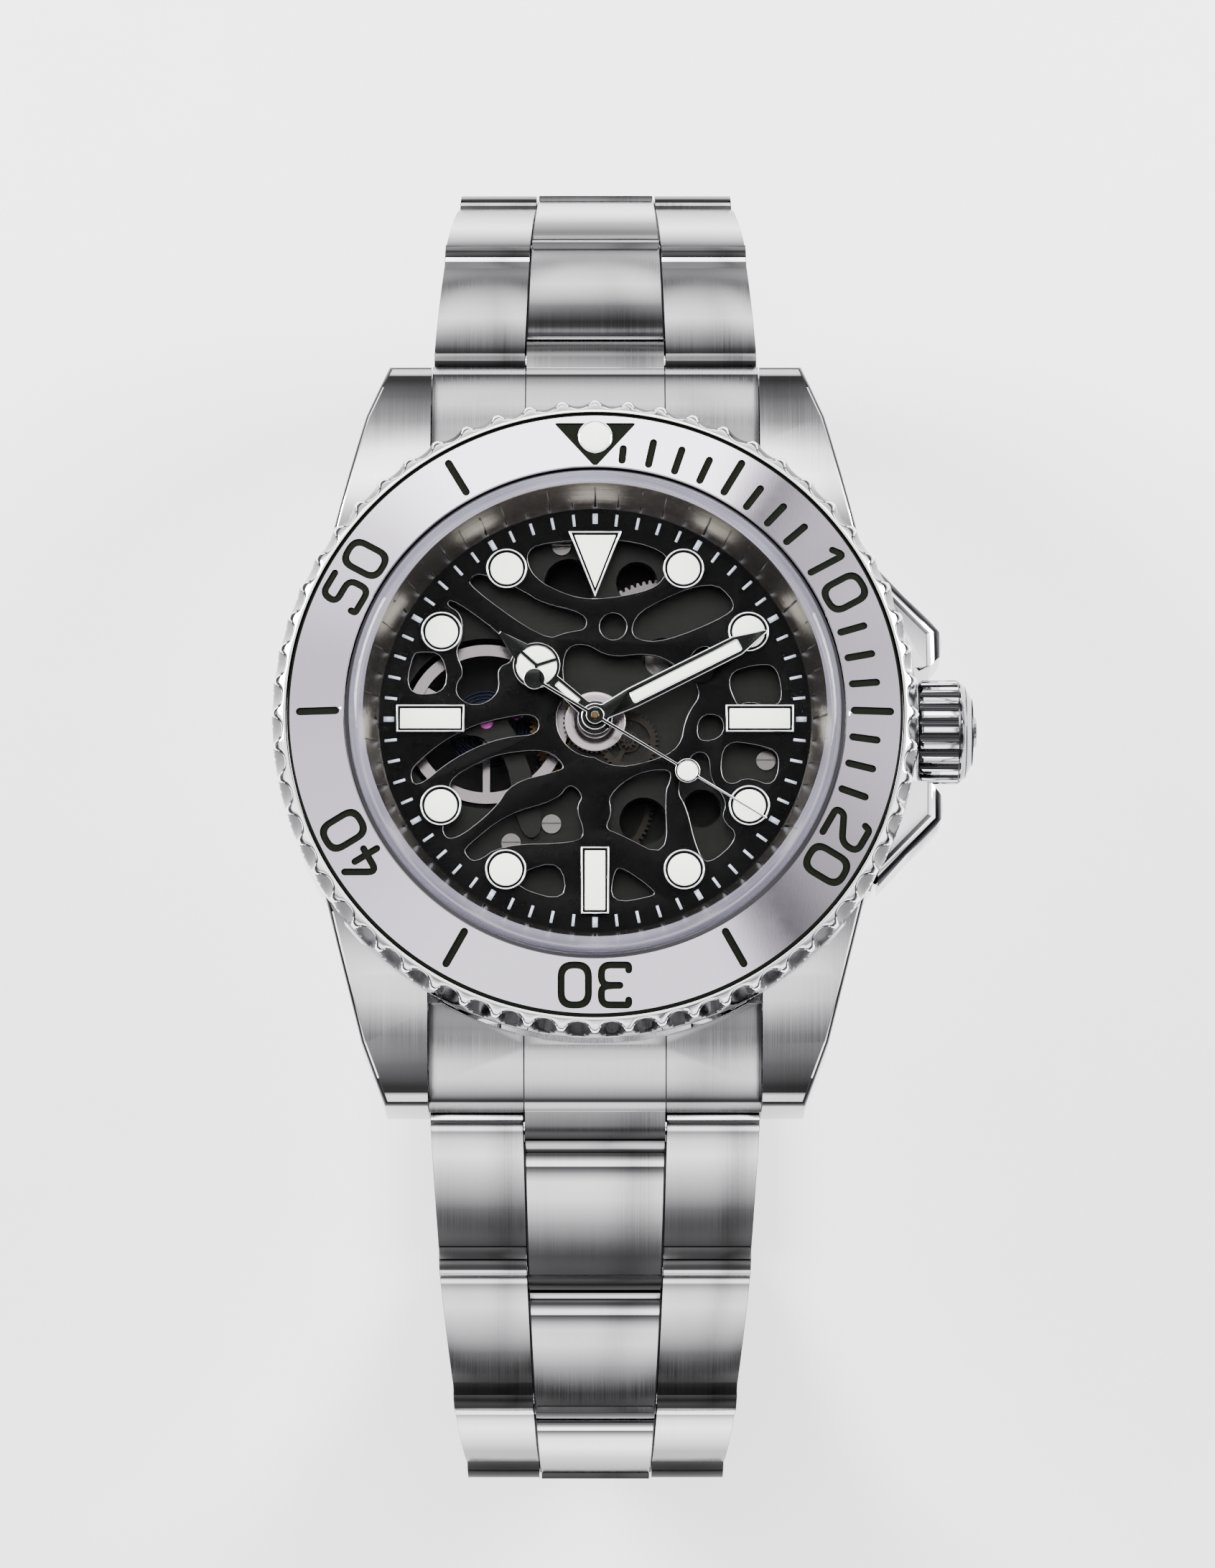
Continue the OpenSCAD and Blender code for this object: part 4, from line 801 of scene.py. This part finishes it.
# The lugs' inner walls are within this X and beyond this Y, and their top edges are beyond this Y and Z
LUG_IN_X, LUG_IN_Y = 10.6 * MM, 17 * MM
LUG_EDGE_Y, LUG_EDGE_Z = 10.5 * MM, 2 * MM


def case_face(center, normal):
    """Satin lug tops and polished flanks; painted light and shade on the guards, bright on top with a dark
    turn, and painted shade on the lug insides.
    """
    if center.x > GUARD_X and abs(center.y) < GUARD_Y:
        if normal.z > 0.85:
            return 3
        return 2 if 0.35 < math.hypot(normal.x, normal.y) < 0.8 and normal.x > 0 else 1
    if abs(normal.x) > 0.9 and abs(center.x) < LUG_IN_X and abs(center.y) > LUG_IN_Y:
        return 2
    return 0 if normal.z > 0.35 else 1


def case_edge(_, normal):
    """Painted light on the polished bevel: a bright band along its top and a greyer band of painted shade
    below it.
    """
    return 2 if math.hypot(normal.x, normal.y) > 0.5 else 3


def crown_face(center, _):
    """Dark flutes of painted shade between bright lands, and a greyer domed end of painted shade."""
    if center.x / MM > CROWN_TURNS[0][0]:
        return 2
    return 1 if math.hypot(center.y, center.z - CROWN_Z) / MM < FLUTE_R else 0


def end_link_face(_, normal):
    """Brushed end links with painted shade on their sides."""
    return 2 if abs(normal.x) > 0.3 else 0


def end_link_edge(_, normal):
    """Bright bevels along the tops and bevels of painted shade down the sides."""
    return 2 if abs(normal.x) > 0.3 else 1


def lug_edges(bm):
    """Weights the outer top edges of the lugs, so that they alone take the wide polished bevel."""
    weight = bm.edges.layers.float.get("bevel_weight_edge") or bm.edges.layers.float.new("bevel_weight_edge")
    for edge in bm.edges:
        if len(edge.link_faces) != 2:
            continue
        top, side = sorted((f.normal for f in edge.link_faces), key=lambda n: -n.z)
        middle = (edge.verts[0].co + edge.verts[1].co) / 2
        outside = side.x * middle.x > 0 and abs(side.x) > 0.7 or side.y * middle.y > 0 and abs(side.y) > 0.9
        on_lug = abs(middle.y) > LUG_EDGE_Y and middle.z > LUG_EDGE_Z
        if top.z > 0.75 and abs(side.z) < 0.1 and outside and on_lug:
            edge[weight] = 1.0


def end_link_grooves(materials):
    """Cutter for the two grooves that part each end link's middle from its sides."""
    bm = bmesh.new()
    outline = [(17.0, 6.4), (20.0, 5.5), (22.4, 4.35), (23.95, 3.3), (23.95, 0.5), (25.0, 0.5), (25.0, 8.5),
               (17.0, 8.5)]
    groove = 0.08
    for side in (-1, 1):
        for x in (-4.44, 4.36):
            near, far = ([bm.verts.new((at * MM, side * y * MM, z * MM)) for y, z in outline]
                         for at in (x, x + groove))
            slab(bm, near, far, 2, 2)
    return cutter_object(bm, "end_link_cutter", materials)


def crown_rings():
    """Thin dark rings round the turns of the crown's end."""
    steps = 64
    angles = [math.tau * i / steps for i in range(steps)]
    bm = bmesh.new()
    for x, r in CROWN_TURNS:
        section = ((x - 0.04, r - 0.1), (x - 0.04, r + 0.05), (x + 0.06, r + 0.01), (x + 0.06, r - 0.1))
        tube(bm, [[bm.verts.new((at * MM, out * MM * math.cos(a), CROWN_Z + out * MM * math.sin(a)))
                   for a in angles] for at, out in section])
    add_piece("crown_rings", bm, [MAT["seam_and_shade"]], BODY_OF["crown"])


def build_case():
    """The case with its lugs and guards, the end links, the back and the crown."""
    steels = [MAT["satin"], MAT["flank"], MAT["seam_and_shade"], MAT["mirror"]]
    refined("mid_case", 0.26, steels, 1, 4, pick=case_face, weigh=lug_edges,
            edge_pick=case_edge)
    steels = [MAT["end_link"], MAT["mirror"], MAT["seam_and_shade"]]
    refined("end_links", 0.10, steels, 1, pick=end_link_face, edge_pick=end_link_edge,
            cutters=[end_link_grooves(steels)])
    refined("case_back", 0.08, [MAT["back"], MAT["mirror"]], 1)
    refined("crown", 0.06, [MAT["mirror"], MAT["seam_and_shade"], MAT["side"]], 1, pick=crown_face)
    crown_rings()


# ---------------------------------------------------------------- bracelet

# A row's length between its hinges, a link's thickness and round end, the gap round that end, and how far
# the domed face drops towards its ends
PITCH, LINK_T = 9.0, 2.9
END_R = LINK_T / 2
GAP = 0.1
DOME_DROP = 0.34
# Half the bracelet's width at each hinge from the case down, and the centre link's share of it
HALF_WIDTHS = (10.2, 9.6, 8.75, 8.05, 7.7, 7.6, 7.6, 7.6)
CENTRE_SHARE = 0.427
PIN_R, LAST_PIN_R = 0.55, 0.6
JOINTS = {j["name"]: j for j in frame["record"]["behaviour"]["joints"]}


def half_width(s):
    """Half the bracelet's width at a distance from the case, counted in rows."""
    i = min(6, max(0, math.floor(s)))
    t = min(1.0, max(0.0, s - i))
    return HALF_WIDTHS[i] * (1 - t) + HALF_WIDTHS[i + 1] * t


def arc(cu, cw, r, start, stop, steps):
    """Points on an arc about (cu, cw), by angles in degrees."""
    angles = [math.radians(start + (stop - start) * i / steps) for i in range(steps + 1)]
    return [(cu + r * math.cos(a), cw + r * math.sin(a)) for a in angles]


def domed(u0, u1, steps=12):
    """The gently crowned top of a link, from u0 to u1."""
    middle, half = (u0 + u1) / 2, abs(u1 - u0) / 2
    places = [u0 + (u1 - u0) * i / steps for i in range(steps + 1)]
    return [(u, END_R - DOME_DROP * abs((u - middle) / half) ** 2.4) for u in places]


def outer_profile():
    """Side outline of an outer link about its hinge: round at the hinge, hollowed at the far end."""
    far = PITCH - END_R - GAP / 2
    start = arc(0, 0, END_R - 0.02, 262, 100, 22)
    hollow = arc(PITCH, 0, END_R + GAP, 122, 238, 10)
    shoulder = (far - 0.03, END_R - DOME_DROP - 0.12)
    return start[1:-1] + domed(-0.15, far - 0.12) + [shoulder] + hollow + [(far - 0.1, -END_R), (0.0, -END_R)]


def centre_profile():
    """Side outline of a centre link: hollowed round the near hinge, round at the far one."""
    near = END_R + GAP / 2
    end = arc(PITCH, 0, END_R - 0.02, 80, -82, 22)
    hollow = arc(0, 0, END_R + GAP, -58, 58, 10)
    shoulder = (near + 0.03, END_R - DOME_DROP - 0.12)
    dome = domed(near + 0.12, PITCH + 0.15)
    return [(near + 0.03, -END_R)] + hollow + [shoulder] + dome + end[1:-1] + [(PITCH, -END_R)]


def link_solid(bm, profile, edge_in, edge_out, place, material):
    """A link: its side outline swept across from one tapered edge to the other."""
    along = bm.verts.layers.float.get("along") or bm.verts.layers.float.new("along")
    near, far = min(u for u, w in profile), max(u for u, w in profile)
    inner = [bm.verts.new(place((edge_in(u), u, w))) for u, w in profile]
    outer = [bm.verts.new(place((edge_out(u), u, w))) for u, w in profile]
    for row in (inner, outer):
        for vert, (u, w) in zip(row, profile):
            vert[along] = (u - near) / (far - near)
    slab(bm, inner, outer, material, 3)


def pin(bm, reach, u, place, r=PIN_R):
    """A pin across a row."""
    ring = disc_outline(r, steps=24)
    slab(bm, *([bm.verts.new(place((x, u + p[0], p[1]))) for p in ring] for x in (-reach, reach)))


def strand_places(side):
    """For each row of a strand, the function that puts its local (x, u, w) in mm in the frame, in metres."""
    sign = 1 if side == "12" else -1
    hinges = [JOINTS[f"row_{side}_{k}_hinge"] for k in range(1, 7)]
    origins = [Vector(j["pos_m"]) for j in hinges]
    step = origins[1] - origins[0]
    angle = math.degrees(math.atan2(-step.z, step.y * sign))
    places = []
    for k, joint in enumerate(hinges):
        if k:
            angle += joint["range_deg"][1]
        a = math.radians(angle)
        along = Vector((0, sign * math.cos(a), -math.sin(a)))
        out = Vector((0, sign * math.sin(a), math.cos(a)))

        def place(p, origin=origins[k], along=along, out=out):
            return origin + Vector((p[0] * MM, 0, 0)) + along * (p[1] * MM) + out * (p[2] * MM)

        places.append(place)
    return places


def build_row(side, k, place):
    """One row: two outer links, a centre link, dark sheets of painted shade in the gaps between them, and its
    pins.
    """
    def width(u):
        return half_width(k + u / PITCH)

    def centre_width(u):
        return width(u) * CENTRE_SHARE

    bm = bmesh.new()
    for sign in (-1, 1):
        link_solid(bm, outer_profile(), lambda u: sign * (centre_width(u) + 0.1), lambda u: sign * width(u),
                   place, 0)
    link_solid(bm, centre_profile(), lambda u: -centre_width(u), centre_width, place, 1)
    # Painted shade: a dark sheet fills each gap between the centre link and an outer link
    core = [(5.9 + (u - 5.9) * 0.96, w * 0.72) for u, w in centre_profile()]
    for sign in (-1, 1):
        link_solid(bm, core, lambda u: sign * (centre_width(u) - 0.01),
                   lambda u: sign * (centre_width(u) + 0.09), place, 2)
    node = f"row_{side}_{k + 1}"
    steels = [MAT["outer_" + side], MAT["centre_" + side], MAT["seam_and_shade"], MAT["side"]]
    piece = add_piece(f"links_{side}_{k + 1}", bm, steels, BODY_OF[node], [node])
    # Painted shade: the links' bevels take the dark steel
    bevelled(piece, 0.06, 2, 60, 2)
    smooth_by_angle(piece.data, 28)
    bm = bmesh.new()
    for u in (0.0, PITCH / 2):
        pin(bm, width(u) + 0.01, u, place)
    if side == "12" and k == 5:
        pin(bm, 5.4, PITCH, place, LAST_PIN_R)
    add_piece(f"pins_{side}_{k + 1}", bm, [MAT["mirror"]], BODY_OF[node])


def build_bracelet():
    """Both strands and the folding clasp."""
    for side in ("12", "6"):
        for k, place in enumerate(strand_places(side)):
            build_row(side, k, place)
    for node in ("clasp_cover", "clasp_blade", "clasp_inner_blade"):
        refined(node, 0.12, [MAT["clasp"], MAT["mirror"]], 1)
    refined("clasp_catch", 0.08, [MAT["mirror"]])


# ---------------------------------------------------------------- hands


def build_hands():
    """The hands with bright edges, and the lume in them."""
    for node, bevel in (("hour_hand", 0.07), ("minute_hand", 0.07), ("seconds_hand", 0.04)):
        refined(node, bevel, [MAT["hand"], MAT["mirror"]], 1, 2, 40)
    for node in ("hour_lume", "minute_lume", "seconds_lume"):
        refined(node, 0.03, [MAT["lume"]], 0, 2)


def build_hub():
    """The brushed disc of the hour wheel, with its turned steps."""
    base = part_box("hour_wheel")[0].z / MM + 0.14
    bm = bmesh.new()
    revolve(bm, [(0.66, base - 0.05), (1.88, base - 0.05), (1.88, base + 0.02), (1.80, base + 0.05),
                 (1.22, base + 0.05), (1.16, base + 0.02), (1.08, base + 0.02), (1.02, base + 0.07),
                 (0.66, base + 0.07)], 96)
    add_piece("hub_disc", bm, [MAT["hub"]], BODY_OF["hour_wheel"])


# ---------------------------------------------------------------- stage, light, camera

HUB = Vector((0, 0, DIAL_TOP))
ELEVATION = math.radians(78.5)
DISTANCE = 0.42
# The height that the picture covers at the dial, and how far right and up of the hub its middle is
FRAME_H = 0.09715
AIM_RIGHT, AIM_UP = 0.00077, -0.00401
SENSOR = 36


def build_camera():
    """Looks down on the dial from the 6 o'clock side."""
    away = Vector((0, -math.cos(ELEVATION), math.sin(ELEVATION)))
    right = Vector((1, 0, 0))
    up = away.cross(right)
    aim = HUB + right * AIM_RIGHT + up * AIM_UP
    data = bpy.data.cameras.new("camera")
    data.sensor_fit = "VERTICAL"
    data.sensor_height = SENSOR
    data.lens = SENSOR * DISTANCE / FRAME_H
    data.clip_start = 0.01
    camera = bpy.data.objects.new("camera", data)
    camera.location = aim + away * DISTANCE
    camera.rotation_euler = Matrix((right, up, away)).transposed().to_euler()
    bpy.context.scene.collection.objects.link(camera)
    bpy.context.scene.camera = camera


def area_light(name, location, energy, size=0.25):
    """A square lamp that faces the watch."""
    data = bpy.data.lights.new(name, "AREA")
    data.shape = "RECTANGLE"
    data.size = data.size_y = size
    data.energy = energy
    light = bpy.data.objects.new(name, data)
    light.location = location
    light.rotation_euler = Vector(location).to_track_quat("Z", "Y").to_euler()
    bpy.context.scene.collection.objects.link(light)


# Brightness of the studio around the watch, by the direction's angle from overhead in degrees.
# The first row runs from the 6 o'clock side (negative) to the 12 o'clock side, the second from left to right.
STRIPS_Y = ((-180, 0.50), (-92, 0.08), (-84, 0.12), (-66, 0.75), (-46, 1.0), (-38, 0.55), (-30, 0.12),
            (-18, 0.60), (-6, 1.10), (8, 0.85), (16, 0.75), (24, 1.2), (30, 3.0), (42, 1.5), (54, 0.30),
            (62, 0.50), (72, 1.00), (82, 0.80), (92, 0.10), (180, 0.50))
STRIPS_X = ((-180, 0.6), (-84, 0.06), (-66, 0.05), (-56, 1.0), (-34, 1.1), (-20, 0.9), (-8, 1.0), (9, 1.0),
            (12.5, 0.10), (16, 0.40), (21, 0.95), (34, 1.1), (52, 1.1), (62, 0.04), (76, 0.05), (84, 0.7),
            (180, 0.6))
STUDIO_STRENGTH = 3.0
# The plain pale colour that is seen beyond the floor's edge
BACKDROP = (0.95, 0.95, 0.955)


def strip_ramp(nodes, links, first, second, strips, tint=(1, 1, 1)):
    """A ramp along the angle between two parts of the view direction."""
    angle = nodes.new("ShaderNodeMath")
    angle.operation = "ARCTAN2"
    links.new(first, angle.inputs[0])
    links.new(second, angle.inputs[1])
    share = nodes.new("ShaderNodeMath")
    share.operation = "MULTIPLY_ADD"
    share.inputs[1].default_value = 1 / math.tau
    share.inputs[2].default_value = 0.5
    links.new(angle.outputs["Value"], share.inputs[0])
    stops = [(degrees / 360 + 0.5, value) for degrees, value in strips]
    return stop_ramp(nodes, links, share.outputs["Value"], stops, tint, True)


def build_world():
    """Soft strips of light with darker gaps between them, as round a watch in a light tent."""
    world = bpy.data.worlds.new("studio")
    bpy.context.scene.world = world
    world.use_nodes = True
    nodes, links = world.node_tree.nodes, world.node_tree.links
    place = nodes.new("ShaderNodeTexCoord")
    split = nodes.new("ShaderNodeSeparateXYZ")
    links.new(place.outputs["Generated"], split.inputs["Vector"])
    along = strip_ramp(nodes, links, split.outputs["Y"], split.outputs["Z"], STRIPS_Y, (1.0, 0.985, 1.01))
    across = strip_ramp(nodes, links, split.outputs["X"], split.outputs["Z"], STRIPS_X)
    seen = nodes.new("ShaderNodeLightPath")
    backdrop = nodes.new("ShaderNodeMix")
    backdrop.data_type = "RGBA"
    backdrop.inputs["B"].default_value = (*BACKDROP, 1)
    links.new(seen.outputs["Is Camera Ray"], backdrop.inputs["Factor"])
    links.new(multiplied(nodes, links, along, across), backdrop.inputs["A"])
    links.new(backdrop.outputs["Result"], nodes["Background"].inputs["Color"])
    nodes["Background"].inputs["Strength"].default_value = STUDIO_STRENGTH


def build_stage():
    """A sheet of pale paper just below the watch, and two soft lamps."""
    paper, nodes, links, shader = principled("floor_paper", (0.93, 0.93, 0.935), 0.0, 0.9)
    fibre = scaled_noise(nodes, links, (900, 900, 900), 5)
    tone = ramp(nodes, links, fibre.outputs["Fac"], (0.925, 0.925, 0.93), (0.94, 0.94, 0.945))
    links.new(tone.outputs["Color"], shader.inputs["Base Color"])
    bm = bmesh.new()
    bmesh.ops.create_grid(bm, x_segments=1, y_segments=1, size=0.5)
    mesh = bpy.data.meshes.new("floor")
    bm.to_mesh(mesh)
    bm.free()
    mesh.materials.append(paper)
    obj = bpy.data.objects.new("floor", mesh)
    obj.scale = (6, 6, 1)
    obj.location.z = cad_box[0][2] - 0.0001
    bpy.context.scene.collection.objects.link(obj)
    area_light("key_left", (-0.46, 0.24, 0.40), 8.5)
    area_light("key_right", (0.46, 0.20, 0.38), 7.0)


# ---------------------------------------------------------------- finishes of the carried-over nodes

FINISH = {
    "crown_tube": "side", "back_crystal": "glass", "gaskets": "rubber", "rehaut": "rehaut",
    "movement_ring": "rehaut", "main_plate": "plate", "train_bridge": "plate", "balance_cock": "plate",
    "jewels": "ruby", "bridge_screws": "wheel", "lug_bars": "side", "barrel": "wheel", "mainspring": "blue",
    "ratchet_wheel": "wheel", "center_wheel": "gilt", "third_wheel": "shadow_wheel", "fourth_wheel": "gilt",
    "escape_wheel": "wheel", "pallet_fork": "wheel", "balance_wheel": "silver", "hairspring": "blue",
    "minute_wheel": "shadow_wheel", "hour_wheel": "shadow_wheel", "winding_stem": "wheel",
    "setting_lever": "wheel", "crown_wheel": "wheel", "rotor": "wheel",
}


def finish_nodes():
    """Gives the CAD nodes that stay in the model their materials."""
    for node, key in FINISH.items():
        mesh = NODES[node].data
        mesh.materials.clear()
        mesh.materials.append(MAT[key])


def main():
    """Builds the scene."""
    build_camera()
    build_world()
    build_stage()
    finish_nodes()
    build_case()
    build_bracelet()
    build_bezel()
    build_insert()
    build_dial()
    build_hands()
    build_hub()
    build_rehaut()
    build_crystal()


main()
